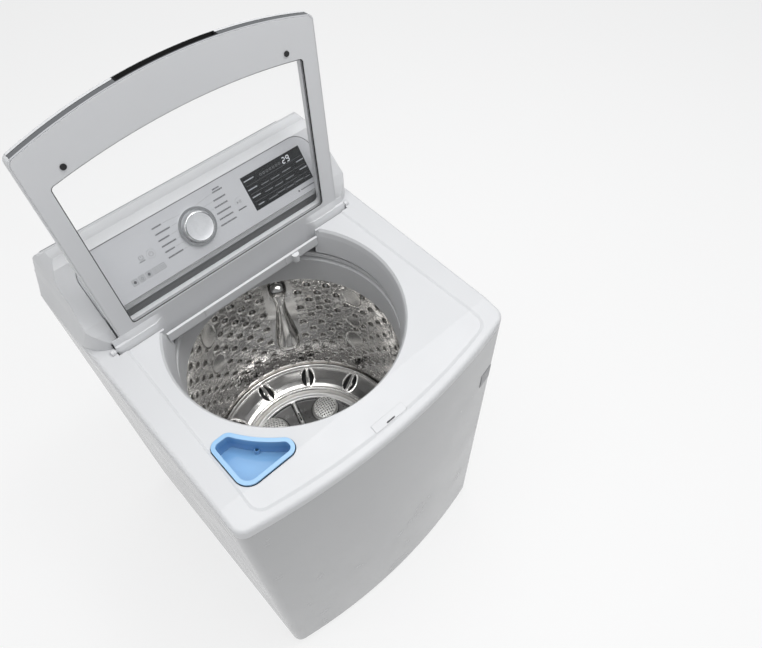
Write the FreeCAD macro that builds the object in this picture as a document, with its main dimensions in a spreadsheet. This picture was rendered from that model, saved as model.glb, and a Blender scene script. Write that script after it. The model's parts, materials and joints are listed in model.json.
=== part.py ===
"""Top load washing machine: cabinet, deck, console, lid, hanging tub, basket, pulsator and direct drive.

Frame: millimetres, +X to the machine's left-hand neighbour on the right, front towards -Y, +Z up.
The origin is on the floor under the middle of the machine. The lid is drawn standing open.
"""
import FreeCAD, Part
import math
import os

Vector = FreeCAD.Vector
Rotation = FreeCAD.Rotation
Placement = FreeCAD.Placement

doc = FreeCAD.newDocument("washing_machine")
sheet = doc.addObject("Spreadsheet::Sheet", "Dims")


# ---------------------------------------------------------------- sizes

class Size:
    """A length that carries both its number and its formula over the spreadsheet's cells."""

    def __init__(self, value, formula):
        self.value = float(value)
        self.formula = formula

    def joined(self, sign, other, swapped=False):
        other = as_size(other)
        first, second = (other, self) if swapped else (self, other)
        value = {"+": first.value + second.value,
                 "-": first.value - second.value,
                 "*": first.value * second.value,
                 "/": first.value / (second.value or 1.0)}[sign]
        return Size(value, f"({first.formula} {sign} {second.formula})")

    def __add__(self, other):
        return self.joined("+", other)

    def __radd__(self, other):
        return self.joined("+", other, True)

    def __sub__(self, other):
        return self.joined("-", other)

    def __rsub__(self, other):
        return self.joined("-", other, True)

    def __mul__(self, other):
        return self.joined("*", other)

    def __rmul__(self, other):
        return self.joined("*", other, True)

    def __truediv__(self, other):
        return self.joined("/", other)

    def __neg__(self):
        return self.joined("*", -1)


def as_size(number):
    return number if isinstance(number, Size) else Size(number, repr(float(number)))


class Dims:
    """The driving dimensions, one attribute for each named cell of the sheet."""


def drive(**cells):
    """Write each driving dimension into the sheet under its own name."""
    for name, value in cells.items():
        row = len(vars(Dims.table)) + 1
        sheet.set(f"A{row}", name)
        sheet.set(f"B{row}", str(value))
        sheet.setAlias(f"B{row}", name)
        setattr(Dims.table, name, Size(value, f"Dims.{name}"))


Dims.table = Dims()
D = Dims.table

drive(  # cabinet
    width=686, depth=740, front_bow=40, corner_round=26, sheet_steel=1.2,
    cabinet_base=22, cabinet_top=921, console_top=1140, rear_inset=18)
drive(  # deck
    deck_top=958, deck_skin=4, recess_drop=3, bend_back=94, slope_drop=14, slope_run=76,
    cover_wall=3.5, deck_round=9, bead_wide=11)
drive(  # tub mouth and hanging tub, all on one upright axis
    tub_axis_back=24, mouth_edge=256, mouth_neck=241, mouth_low=888,
    tub_inner=296, tub_wall=4, tub_floor=196, tub_rim=850,
    drum_inner=272, drum_wall=1, drum_floor=296, drum_rim=778, balance_inner=244,
    balance_height=80, pulsator_edge=186)
drive(  # lid and its hinge
    hinge_back=135, hinge_up=960, lid_angle=94, lid_seat=962, lid_thick=24, lid_tail=46,
    lid_corner=459, lid_apex=503, lid_half_back=279, lid_half_front=290,
    window_back=36, window_corner=388, window_apex=414, window_half_back=244,
    window_half_front=254, trough_reach=58, trough_half=300)
drive(  # console
    panel_back=166, panel_up=1024, panel_lean=35.5, panel_width=568, panel_height=124,
    panel_round=45, panel_thick=3, console_foot=142, console_side_foot=196, cheek_half=284,
    shoulder_half=320)
drive(  # knob, display and keys, measured in the panel's own plane
    knob_left=31, knob_rise=61, knob_edge=32.5, bezel_edge=40.5, knob_out=18,
    display_left=99, display_low=24, display_wide=155, display_tall=76.5,
    power_left=140.6, power_rise=61, start_right=72.6, start_rise=60.4, key_edge=9, key_travel=1.5)
drive(  # detergent cup
    cup_left=286, cup_front=279, cup_wide=122, cup_deep=119, cup_arc=277, cup_depth=46)
drive(  # feet, drive and pump
    foot_edge=22, foot_inset=48, shaft_edge=10, running_gap=0.05, rotor_edge=128, stator_edge=104)

doc.recompute()

HALF = D.width / 2
BACK = D.depth / 2
FRONT = -BACK
FRONT_CORNER = FRONT + D.front_bow
BOW_RADIUS = (HALF.value ** 2 + D.front_bow.value ** 2) / (2 * D.front_bow.value)
AXIS_Y = -D.tub_axis_back
TILT = 90 - D.panel_lean.value

MADE = {}       # node name -> document object


# ---------------------------------------------------------------- drawing helpers

def bind(obj, prop, size):
    """Give a property its size and tie it to the sheet."""
    size = as_size(size)
    setattr(obj, prop, size.value)
    if "Dims." in size.formula:
        obj.setExpression(prop, size.formula)


def place(obj, at=(0, 0, 0), turn=None):
    """Put an object at a point whose coordinates stay tied to the sheet."""
    spots = [as_size(part) for part in at]
    obj.Placement = Placement(Vector(*[spot.value for spot in spots]), turn or Rotation())
    for axis, spot in zip("xyz", spots):
        if "Dims." in spot.formula:
            obj.setExpression(f"Placement.Base.{axis}", spot.formula)
    return obj


AXIS_TURN = {
    "z": Rotation(),
    "x": Rotation(Vector(0, 1, 0), 90),
    "y": Rotation(Vector(1, 0, 0), -90),
}


def box(name, size, at):
    made = doc.addObject("Part::Box", name)
    for prop, length in zip(("Length", "Width", "Height"), size):
        bind(made, prop, length)
    return place(made, at)


def rod(name, radius, length, at, axis="z"):
    """A cylinder that starts at a point and runs along +x, +y or +z."""
    made = doc.addObject("Part::Cylinder", name)
    bind(made, "Radius", radius)
    bind(made, "Height", length)
    return place(made, at, AXIS_TURN[axis])


def cut(name, base, *tools):
    for number, tool in enumerate(tools):
        made = doc.addObject("Part::Cut", name if number == len(tools) - 1 else f"{name}_cut{number}")
        made.Base = base
        made.Tool = tool
        base = made
    return base


def fuse(name, *parts):
    made = doc.addObject("Part::MultiFuse", name)
    made.Shapes = list(parts)
    return made


def common(name, *parts):
    made = doc.addObject("Part::MultiCommon", name)
    made.Shapes = list(parts)
    return made


def tube(name, outer, inner, length, at, axis="z"):
    shift = {"x": (1, 0, 0), "y": (0, 1, 0), "z": (0, 0, 1)}[axis]
    start = [as_size(spot) - step for spot, step in zip(at, shift)]
    return cut(name,
               rod(f"{name}_outer", outer, length, at, axis),
               rod(f"{name}_bore", inner, as_size(length) + 2, start, axis))


def plane_of(body, role):
    return next(part for part in body.Origin.OriginFeatures if part.Role == role)


def sketch_on(body, role, points):
    """A closed outline. A point is (x, y), or (x, y, radius) when an arc leads on to the next one."""
    sketch = body.newObject("Sketcher::SketchObject", f"{body.Name}_outline")
    sketch.AttachmentSupport = (plane_of(body, role), [""])
    sketch.MapMode = "FlatFace"
    count = len(points)
    places = [(as_size(point[0]), as_size(point[1])) for point in points]
    for number, point in enumerate(points):
        start = Vector(places[number][0].value, places[number][1].value, 0)
        end = Vector(places[(number + 1) % count][0].value, places[(number + 1) % count][1].value, 0)
        if len(point) == 3:
            sketch.addGeometry(arc_between(start, end, point[2]), False)
        else:
            sketch.addGeometry(Part.LineSegment(start, end), False)
    for number, (across, up) in enumerate(places):
        first = arc_start(points[number])
        last = arc_end(points[number - 1])
        add_constraint(sketch, "Coincident", None, (number - 1) % count, last, number, first)
        add_constraint(sketch, "DistanceX", across, -1, 1, number, first)
        add_constraint(sketch, "DistanceY", up, -1, 1, number, first)
        if len(points[number]) == 3:
            sketch.addConstraint(sketch_constraint("Radius", number, abs(points[number][2])))
    return sketch


def sketch_constraint(*parts):
    import Sketcher
    return Sketcher.Constraint(*parts)


def add_constraint(sketch, kind, size, *ends):
    """Add one constraint, with its value tied to the sheet when it has one."""
    if size is None:
        sketch.addConstraint(sketch_constraint(kind, *ends))
        return
    index = sketch.addConstraint(sketch_constraint(kind, *ends, size.value))
    if "Dims." in size.formula:
        sketch.setExpression(f"Constraints[{index}]", size.formula)


def arc_between(start, end, radius):
    """An arc from start to end. A positive radius bulges to the right of the way it runs."""
    chord = end - start
    half = chord.Length / 2
    rise = math.sqrt(max(radius * radius - half * half, 0.0))
    left = Vector(-chord.y, chord.x, 0).normalize()
    side = 1 if radius > 0 else -1
    centre = (start + end) * 0.5 + left * (rise * side)
    circle = Part.Circle(centre, Vector(0, 0, 1), abs(radius))
    turn_start = math.atan2(start.y - centre.y, start.x - centre.x)
    turn_end = math.atan2(end.y - centre.y, end.x - centre.x)
    if radius > 0:
        return Part.ArcOfCircle(circle, turn_start, turn_end)
    return Part.ArcOfCircle(circle, turn_end, turn_start)


def arc_start(point):
    return 2 if len(point) == 3 and point[2] < 0 else 1


def arc_end(point):
    return 1 if len(point) == 3 and point[2] < 0 else 2


def pad(name, points, length, role="XY_Plane", at=(0, 0, 0), middle=False, taper=0):
    """A straight prism on an outline, upwards from XY, or along X from a side view (Y, Z)."""
    body = doc.addObject("PartDesign::Body", name)
    sketch = sketch_on(body, role, points)
    feature = body.newObject("PartDesign::Pad", f"{name}_pad")
    feature.Profile = sketch
    bind(feature, "Length", length)
    feature.Midplane = middle
    feature.TaperAngle = taper
    return place(body, at)


def turned(name, points, at=None):
    """A ring or shaft turned about the upright tub axis from its (radius, height) outline."""
    body = doc.addObject("PartDesign::Body", name)
    sketch = sketch_on(body, "XZ_Plane", points)
    feature = body.newObject("PartDesign::Revolution", f"{name}_turn")
    feature.Profile = sketch
    feature.ReferenceAxis = (sketch, ["V_Axis"])
    feature.Angle = 360
    return place(body, at or (0, AXIS_Y, 0))


def rounded(name, base, radius, picks):
    """Round every edge of the base that a test function picks."""
    doc.recompute()
    made = doc.addObject("Part::Fillet", name)
    made.Base = base
    edges = [(number + 1, radius, radius)
             for number, edge in enumerate(base.Shape.Edges) if picks(edge)]
    made.Edges = edges
    return made


def upright(edge, low=None, high=None):
    """True for a straight edge that runs along Z."""
    if edge.Curve.TypeId != "Part::GeomLine" or len(edge.Vertexes) < 2:
        return False
    first, last = edge.Vertexes[0].Point, edge.Vertexes[-1].Point
    return abs(first.x - last.x) < 1e-4 and abs(first.y - last.y) < 1e-4


def at_height(edge, level, slack=0.01):
    bounds = edge.BoundBox
    return abs(bounds.ZMin - level) < slack and abs(bounds.ZMax - level) < slack


def group(name, shapes):
    """Several separate solids kept under one name."""
    made = doc.addObject("Part::Feature", name)
    made.Shape = Part.makeCompound(shapes)
    return made


def moved(shape, at, turn=None):
    copy = shape.copy()
    copy.Placement = Placement(Vector(*at), turn or Rotation()).multiply(copy.Placement)
    return copy


def keep(name, obj, turn=None):
    """Register a finished piece under its own name, with its final placement."""
    if turn is not None and obj.ExpressionEngine:
        wrapper = doc.addObject("Part::Compound", f"{name}_swung")
        wrapper.Links = [obj]
        obj = wrapper
    obj.Label = name
    if turn is not None:
        obj.Placement = turn.multiply(obj.Placement)
    MADE[name] = obj
    return obj


def bowed_outline(inset, corner_gap=0):
    """The machine's plan: straight sides and back, and a front that bows forwards."""
    side = HALF - inset
    front = FRONT_CORNER + inset
    return [(side, BACK - corner_gap), (-side, BACK - corner_gap),
            (-side, front, BOW_RADIUS), (side, front)]


def bowed_block(name, inset, low, high, corner=None, back_gap=0):
    body = pad(name, bowed_outline(inset, back_gap), as_size(high) - low, at=(0, 0, low))
    if corner is None:
        return body
    return rounded(f"{name}_rounded", body, corner,
                   lambda edge: upright(edge) and edge.BoundBox.YMax < FRONT_CORNER.value + 5)


# ---------------------------------------------------------------- cabinet

def make_cabinet():
    """Wrapped steel sides and bowed front, open at the back, on a folded base frame."""
    steel = D.sheet_steel
    round_out = D.corner_round.value
    outside = bowed_block("cabinet_outside", 0, D.cabinet_base, D.cabinet_top, round_out)
    inside = bowed_block("cabinet_inside", steel, D.cabinet_base - 1, D.cabinet_top + 1,
                         round_out - steel.value, back_gap=-5)
    keep("cabinet_shell", cut("cabinet_shell", outside, inside))

    panel_y = BACK - D.rear_inset
    height = D.cabinet_top - D.cabinet_base
    sheet_metal = box("rear_sheet", (D.width - 2 * steel - 0.4, steel, height),
                      (-HALF + steel + 0.2, panel_y, D.cabinet_base))
    holes = [rod(f"rear_port_hole{number}", 16, 10, (across, panel_y - 5, 880), "y")
             for number, across in enumerate(INLET_ACROSS)]
    holes.append(rod("rear_drain_hole", 19, 10, (DRAIN_ACROSS, panel_y - 5, 840), "y"))
    holes.append(rod("rear_cord_hole", 9, 10, (CORD_ACROSS, panel_y - 5, 880), "y"))
    holes += [rod(f"rear_screw_hole{number}", 2.1, 10, (across, panel_y - 5, up), "y")
              for number, (across, up) in enumerate(REAR_SCREWS)]
    holes += [box(f"rear_louvre{number}", (120, 10, 5), (-60, panel_y - 5, 200 + 14 * number))
              for number in range(8)]
    keep("rear_panel", cut("rear_panel", sheet_metal, *holes))

    deep = 34
    rim = 42
    frame_out = bowed_block("base_outside", steel + 0.3, D.cabinet_base, D.cabinet_base + deep,
                            round_out - 2, back_gap=D.rear_inset + 0.5)
    frame_in = bowed_block("base_inside", steel + 0.3 + 2, D.cabinet_base + 2, D.cabinet_base + deep + 1,
                           round_out - 4, back_gap=D.rear_inset + 2.5)
    window = box("base_window", (D.width - 2 * rim, 350, 10), (-HALF + rim, -50, D.cabinet_base - 5))
    stud_holes = [rod(f"base_stud_hole{number}", 6.5, 20, (across, along, D.cabinet_base - 5))
                  for number, (across, along) in enumerate(FOOT_SPOTS)]
    keep("base_frame", cut("base_frame", frame_out, frame_in, window, *stud_holes))


FOOT_SPOTS = [(side * (HALF - D.foot_inset + 20).value, along)
              for side in (-1, 1)
              for along in ((FRONT_CORNER + D.foot_inset).value - 22, (BACK - D.foot_inset).value - 6)]
INLET_ACROSS = (170, 230)
DRAIN_ACROSS = 290
CORD_ACROSS = -250
REAR_SCREWS = [(side * 325, up) for side in (-1, 1) for up in (60, 330, 600, 870)]


def make_feet():
    """Four screw-in levelling feet and the hexagon nuts that lock them."""
    pad_high = 12
    stem = 5.5
    foot = Part.makeCylinder(D.foot_edge.value - 2, 3).fuse([
        Part.makeCylinder(D.foot_edge.value, pad_high - 3, Vector(0, 0, 3)),
        Part.makeCone(16, 9, 3, Vector(0, 0, pad_high)),
        Part.makeCylinder(stem, 44, Vector(0, 0, pad_high))]).removeSplitter()
    keep("levelling_feet", group("levelling_feet",
                                 [moved(foot, (across, along, 0)) for across, along in FOOT_SPOTS]))
    hexagon = Part.makePolygon([Vector(10.5 * math.cos(math.radians(60 * turn)),
                                       10.5 * math.sin(math.radians(60 * turn)), 0)
                                for turn in range(7)])
    nut = Part.Face(Part.Wire(hexagon)).extrude(Vector(0, 0, 5.5))
    nut = nut.cut(Part.makeCylinder(stem + 0.05, 8, Vector(0, 0, -1)))
    keep("foot_lock_nuts", group("foot_lock_nuts",
                                 [moved(nut, (across, along, 16)) for across, along in FOOT_SPOTS]))


# ---------------------------------------------------------------- deck

def front_slope(name, drop):
    """Everything above the deck's sloping front, lowered by a distance."""
    top = D.deck_top - drop
    bend = FRONT + D.bend_back
    far = 60
    low = top - D.slope_drop / D.slope_run * (D.bend_back + far)
    return pad(name, [(FRONT - far, low), (bend, top), (bend, top + 60), (FRONT - far, top + 60)],
               D.width + 40, "YZ_Plane", middle=True)


def mouth_outline(grow, low, high):
    """The funnel's inner surface as (radius, height), widened by a wall thickness."""
    edge = D.mouth_edge + grow
    neck = D.mouth_neck + grow
    return [(0, low), (neck, low), (neck, D.mouth_low), (neck + 7, D.mouth_low + 48),
            (neck + 10, D.deck_top - 9), (edge, D.deck_top - 2), (edge, high), (0, high)]


def trough_shape(name, reach, half, front_gap, low_front):
    """The quarter-round trough behind the hinge line that the lid's tail swings through."""
    quarter = common(f"{name}_quarter",
                     rod(f"{name}_sweep", reach, 2 * as_size(half),
                         (-as_size(half), D.hinge_back, D.hinge_up), "x"),
                     box(f"{name}_behind", (2 * as_size(half), 200, 200),
                         (-as_size(half), D.hinge_back, D.hinge_up - 200)))
    slot = box(f"{name}_slot", (2 * as_size(half), front_gap, low_front),
               (-as_size(half), D.hinge_back - front_gap, D.hinge_up - low_front))
    return fuse(name, quarter, slot)


def cup_block(name, inset, low, high):
    """The detergent cup's plan: a corner block hollowed by the round tub mouth."""
    inset = as_size(inset)
    block = box(f"{name}_block", (D.cup_wide - 2 * inset, D.cup_deep - 2 * inset, as_size(high) - low),
                (-D.cup_left + inset, -D.cup_front + inset, low))
    bite = rod(f"{name}_bite", D.cup_arc + inset, as_size(high) - low + 2, (0, AXIS_Y, as_size(low) - 1))
    shape = cut(f"{name}_raw", block, bite)
    outer = max(30 - inset.value, 6)
    inner = max(19 - inset.value, 5)
    doc.recompute()
    corner = Vector(-D.cup_left.value + inset.value, -D.cup_front.value + inset.value, 0)
    made = doc.addObject("Part::Fillet", name)
    made.Base = shape
    picks = []
    for number, edge in enumerate(shape.Shape.Edges):
        if upright(edge):
            spot = edge.Vertexes[0].Point
            near = math.hypot(spot.x - corner.x, spot.y - corner.y) < 1
            radius = outer if near else inner
            picks.append((number + 1, radius, radius))
    made.Edges = picks
    return made


def make_lid_recess():
    """The shallow seat under the lid: soft sloping walls, and a floor that drops behind the front bead."""
    soft = 60
    run = math.tan(math.radians(soft))
    drop = D.recess_drop
    side_back = D.lid_half_back + 5 - drop * run
    side_fold = D.lid_half_front + 5 - drop * run
    fold = FRONT + D.bend_back
    flat = pad("recess_flat", [(side_back, D.hinge_back), (-side_back, D.hinge_back),
                               (-side_fold, fold - 1), (side_fold, fold - 1)],
               drop + 2, at=(0, 0, D.deck_top - drop), taper=soft)
    flat = common("recess_flat_kept", flat,
                  box("recess_flat_limit", (D.width, D.bend_back + 500, 60), (-HALF, fold, D.deck_top - 20)))
    angle = 11.5
    reach = D.bend_back - D.bead_wide - 11
    bow = D.front_bow * 0.7
    turn = 24
    side = side_fold + 1
    sloped = pad("recess_sloped", [(side_fold, 20), (-side_fold, 20), (-side, turn + bow - reach, turn),
                                   (turn * 0.8 - side, bow - reach - 1, BOW_RADIUS),
                                   (side - turn * 0.8, bow - reach - 1, turn), (side, turn + bow - reach)],
                 12, taper=soft)
    sloped.Placement = Placement(Vector(0, fold.value, (D.deck_top - drop).value),
                                 Rotation(Vector(1, 0, 0), angle))
    sloped = common("recess_sloped_kept", sloped,
                    box("recess_sloped_limit", (D.width, 200, 90), (-HALF, fold - 200, D.deck_top - 40)))
    return fuse("recess_tool", flat, sloped)


def make_top_cover():
    """Moulded deck with the tub mouth, lid trough, lid recess and cup pocket."""
    low = D.cabinet_top
    block = bowed_block("cover_block", 0, low, D.deck_top, D.corner_round.value)
    block = cut("cover_sloped", block, front_slope("cover_slope", 0))
    block = rounded("cover_soft", block, D.deck_round.value,
                    lambda edge: edge.BoundBox.ZMax > D.deck_top.value - 30
                    and not upright(edge)
                    and not (abs(edge.BoundBox.YMax - BACK.value) < 0.01
                             and abs(edge.BoundBox.YMin - BACK.value) < 0.01)
                    and (abs(abs(edge.BoundBox.Center.x) - HALF.value) < 30
                         or edge.BoundBox.YMax < FRONT_CORNER.value + 5)
                    and edge.BoundBox.ZMin > low.value + 1)
    skin = D.deck_skin + D.recess_drop + 1.5
    void = bowed_block("cover_void", D.cover_wall, low - 1, D.deck_top - skin,
                       D.corner_round.value - D.cover_wall.value, back_gap=D.cover_wall)
    void = cut("cover_void_sloped", void, front_slope("cover_void_slope", skin))
    shell = cut("cover_shell", block, void)

    wall = 3
    funnel = common("mouth_funnel_front",
                    turned("mouth_funnel", mouth_outline(wall, D.mouth_low - 1, D.deck_top - 1)),
                    box("funnel_limit", (700, 400 + BAR_BACK + 0.3 + wall, 200), (-350, -400, 850)))
    trough = trough_shape("trough_wall", D.trough_reach + wall, D.trough_half + wall, 12 + wall, 50 + wall)
    deck_limit = box("trough_limit", (D.width - 20, 200, D.deck_top - 880), (-HALF + 10, 100, 880))
    trough = common("trough_kept", trough, deck_limit)
    pocket = cup_block("pocket_wall", -4, D.deck_top - D.cup_depth - 8, D.deck_top - D.recess_drop - 1)
    ears = [rod(f"hinge_ear{number}", 6.5, 10, (start, D.hinge_back, D.hinge_up), "x")
            for number, start in enumerate((-D.trough_half - 10.2, D.trough_half + 0.2))]
    solid = fuse("cover_solid", shell, funnel, trough, pocket, *ears)

    recess_tool = make_lid_recess()
    mouth = turned("mouth_tool", mouth_outline(0, D.mouth_low - 30, D.deck_top + 30))
    mouth_front = common("mouth_front", mouth,
                         box("mouth_limit", (700, 400 + BAR_BACK + 0.3, 200), (-350, -400, 850)))
    sill = box("mouth_sill", (400, 40, 80), (-200, 93, SILL_UP))
    below_sill = box("below_sill", (388, 4.1, 28), (-194, BAR_BACK - 0.5, 880))
    cover = cut("top_cover", solid, recess_tool, mouth_front, sill, below_sill,
                trough_shape("trough_tool", D.trough_reach, D.trough_half, 12, 50),
                box("trough_mouth", (2 * D.trough_half, D.trough_reach + 12, 30),
                    (-D.trough_half, D.hinge_back - 12, D.hinge_up - 3)),
                cup_block("pocket_tool", -1, D.deck_top - D.cup_depth - 4, D.deck_top + 5),
                box("switch_slot", (20, 3, 60), (-8, -345.5, 900)),
                switch_plate_block("switch_plate_seat", 0.2, 12),
                *[rod(f"hinge_hole{number}", 4.05, 12, (start, D.hinge_back, D.hinge_up), "x")
                  for number, start in enumerate((-307, 295))])
    keep("top_cover", cover)


SILL_UP = 914
BAR_BACK = 118


def make_cup():
    """Translucent lift-out cup with a rim, a sloping basin and a siphon post over its drain."""
    top = D.deck_top + 1.5
    rim = cup_block("cup_rim", 0.5, D.deck_top - D.recess_drop + 0.4, top)
    body = cup_block("cup_body", 5.5, D.deck_top - D.cup_depth, D.deck_top - D.recess_drop + 0.4)
    basin = cup_block("cup_basin", 9, D.deck_top - D.cup_depth + 3, top + 1)
    drain = rod("cup_drain", 3, 20, (-217, -211, D.deck_top - D.cup_depth - 5))
    hollow = cut("cup_hollow", fuse("cup_solid", rim, body), basin, drain)
    post = tube("cup_post", 6, 3, 10, (-217, -211, D.deck_top - D.cup_depth + 3))
    keep("detergent_cup", fuse("detergent_cup", hollow, post))


def make_inlet_bar():
    """Grey spray bar standing on the sill behind the tub mouth, in three lengths with a round boss."""
    front = BAR_BACK - 3
    foot = SILL_UP + 0.05
    bar = box("bar_body", (399.4, 6, 23.9), (-199.7, front, foot))
    boss = rod("bar_boss", 9, 20, (133, front - 2, foot))
    channel = box("bar_channel", (380, 2.6, 14), (-190, front + 3.5, foot + 5))
    seams = [box(f"bar_seam{number}", (1, 1, 26), (across, front, foot - 1))
             for number, across in enumerate((-110, 106))]
    keep("water_inlet_bar", cut("water_inlet_bar", fuse("bar_solid", bar, boss), channel, *seams))


def slope_at(y):
    """Height of the recessed slope behind the front bead."""
    return D.deck_top - D.recess_drop - math.tan(math.radians(11.5)) * ((FRONT + D.bend_back) - y)


def switch_plate_block(name, grow, thick):
    """The lid switch plate's sloping slab, widened by a gap for the seat it lies in."""
    near, far = -347.4 - grow, -330 + grow
    low = 0.1 - grow
    return pad(name, [(near, slope_at(near) + low), (far, slope_at(far) + low),
                      (far, slope_at(far) + 0.1 + thick), (near, slope_at(near) + 0.1 + thick)],
               78 + 2 * grow, "YZ_Plane", at=(-37 - grow, 0, 0))


def make_lid_switch():
    """Lid switch under the front edge: its housing, and a white slotted plate on the deck."""
    housing = box("switch_box", (70, 26, 28), (-36, -356, 901))
    well = box("switch_well", (40, 18, 25), (-18, -352, 904))
    keep("lid_switch_housing", cut("lid_switch_housing", housing, well))
    plate = switch_plate_block("switch_plate_blank", 0, 1.5)
    keep("lid_switch_plate", cut("lid_switch_plate", plate,
                                 box("switch_plate_slot", (20, 3, 60), (-8, -345.5, 900))))


def make_badge():
    """Small blank plate that follows the bow of the front near its right-hand edge."""
    round_out = D.corner_round.value
    skin = cut("badge_skin",
               bowed_block("badge_outside", -0.9, D.cabinet_base + 600, D.cabinet_top, round_out + 0.9),
               bowed_block("badge_inside", -0.1, D.cabinet_base + 599, D.cabinet_top + 1, round_out + 0.1))
    keep("front_badge", common("front_badge", skin, box("badge_limit", (40, 100, 50), (286, -400, 722))))


# ---------------------------------------------------------------- console

def console_side(grow):
    """Side view of the console housing as (Y, Z), shrunk by a wall thickness."""
    foot = D.console_foot + grow
    lean = [(foot, D.deck_top), (foot + 3, D.deck_top + 20), (D.panel_back - 12 + grow, D.panel_up - 22),
            (D.panel_back + grow * 1.3, D.panel_up), (D.panel_back + 72 + grow * 1.3, D.panel_up + 101, 60),
            (D.panel_back + 90, D.console_top - 4 - grow, 60), (D.panel_back + 118, D.console_top - 6 - grow, 90),
            (D.panel_back + 146, D.console_top - 26 - grow), (BACK - 16 - grow, D.console_top - 78 - grow, 60),
            (BACK - grow, D.console_top - 112), (BACK - grow, D.deck_top)]
    return lean


def console_front(grow):
    """Front view of the console housing: ends that sweep out to the deck, round shoulders."""
    top = D.console_top + 5 - grow
    side = HALF - grow
    shoulder = D.shoulder_half - grow
    turn = 55
    right = [(side, D.deck_top), (side - 6, D.deck_top + 22), (side - 16, D.deck_top + 62),
             (shoulder, D.deck_top + 110), (shoulder, top - turn, turn)]
    left = [(-shoulder + turn, top, turn), (-shoulder, top - turn), (-shoulder, D.deck_top + 110),
            (-side + 16, D.deck_top + 62), (-side + 6, D.deck_top + 22), (-side, D.deck_top)]
    return right + [(shoulder - turn, top)] + left


def console_plan(grow):
    """Plan of the console: its front corners curve back to the cabinet's sides."""
    side = HALF - grow
    turn = 64
    return [(side, BACK + 1), (-side, BACK + 1), (-side, D.console_side_foot + 10, turn),
            (-side + turn, D.console_foot + grow), (side - turn, D.console_foot + grow, turn),
            (side, D.console_side_foot + 10)]


def console_solid(name, grow):
    return common(name,
                  pad(f"{name}_side", console_side(grow), D.width + 2, "YZ_Plane", middle=True),
                  place(pad(f"{name}_front", console_front(grow), 400, "XZ_Plane"), (0, BACK + 20, 0)),
                  pad(f"{name}_plan", console_plan(grow), 300, at=(0, 0, D.deck_top - 10)))


def on_panel(across, rise, out=0.0):
    """A placement in the panel's own plane: across, up along it, and out along its normal."""
    turn = Rotation(Vector(1, 0, 0), TILT)
    offset = turn.multVec(Vector(across, rise, out))
    return Placement(Vector(0, D.panel_back.value, D.panel_up.value) + offset, turn)


def panel_plate(name, grow, low, thick):
    """The inset panel's outline: square lower corners and large round upper ones."""
    half = D.panel_width / 2 + grow
    top = D.panel_height + grow
    turn = D.panel_round.value + grow
    points = [(half, -grow), (half, top - turn, turn), (half - turn, top), (-half + turn, top, turn),
              (-half, top - turn), (-half, -grow)]
    body = pad(name, points, thick)
    body.Placement = on_panel(0, 0, low)
    return body


def in_panel(obj, across, rise, out):
    obj.Placement = on_panel(as_size(across).value, as_size(rise).value, out)
    return obj


def panel_rod(name, radius, length, across, rise, out):
    return in_panel(rod(name, radius, length, (0, 0, 0)), across, rise, out)


def panel_box(name, size, across, rise, out):
    return in_panel(box(name, size, (0, 0, 0)), across, rise, out)


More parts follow.
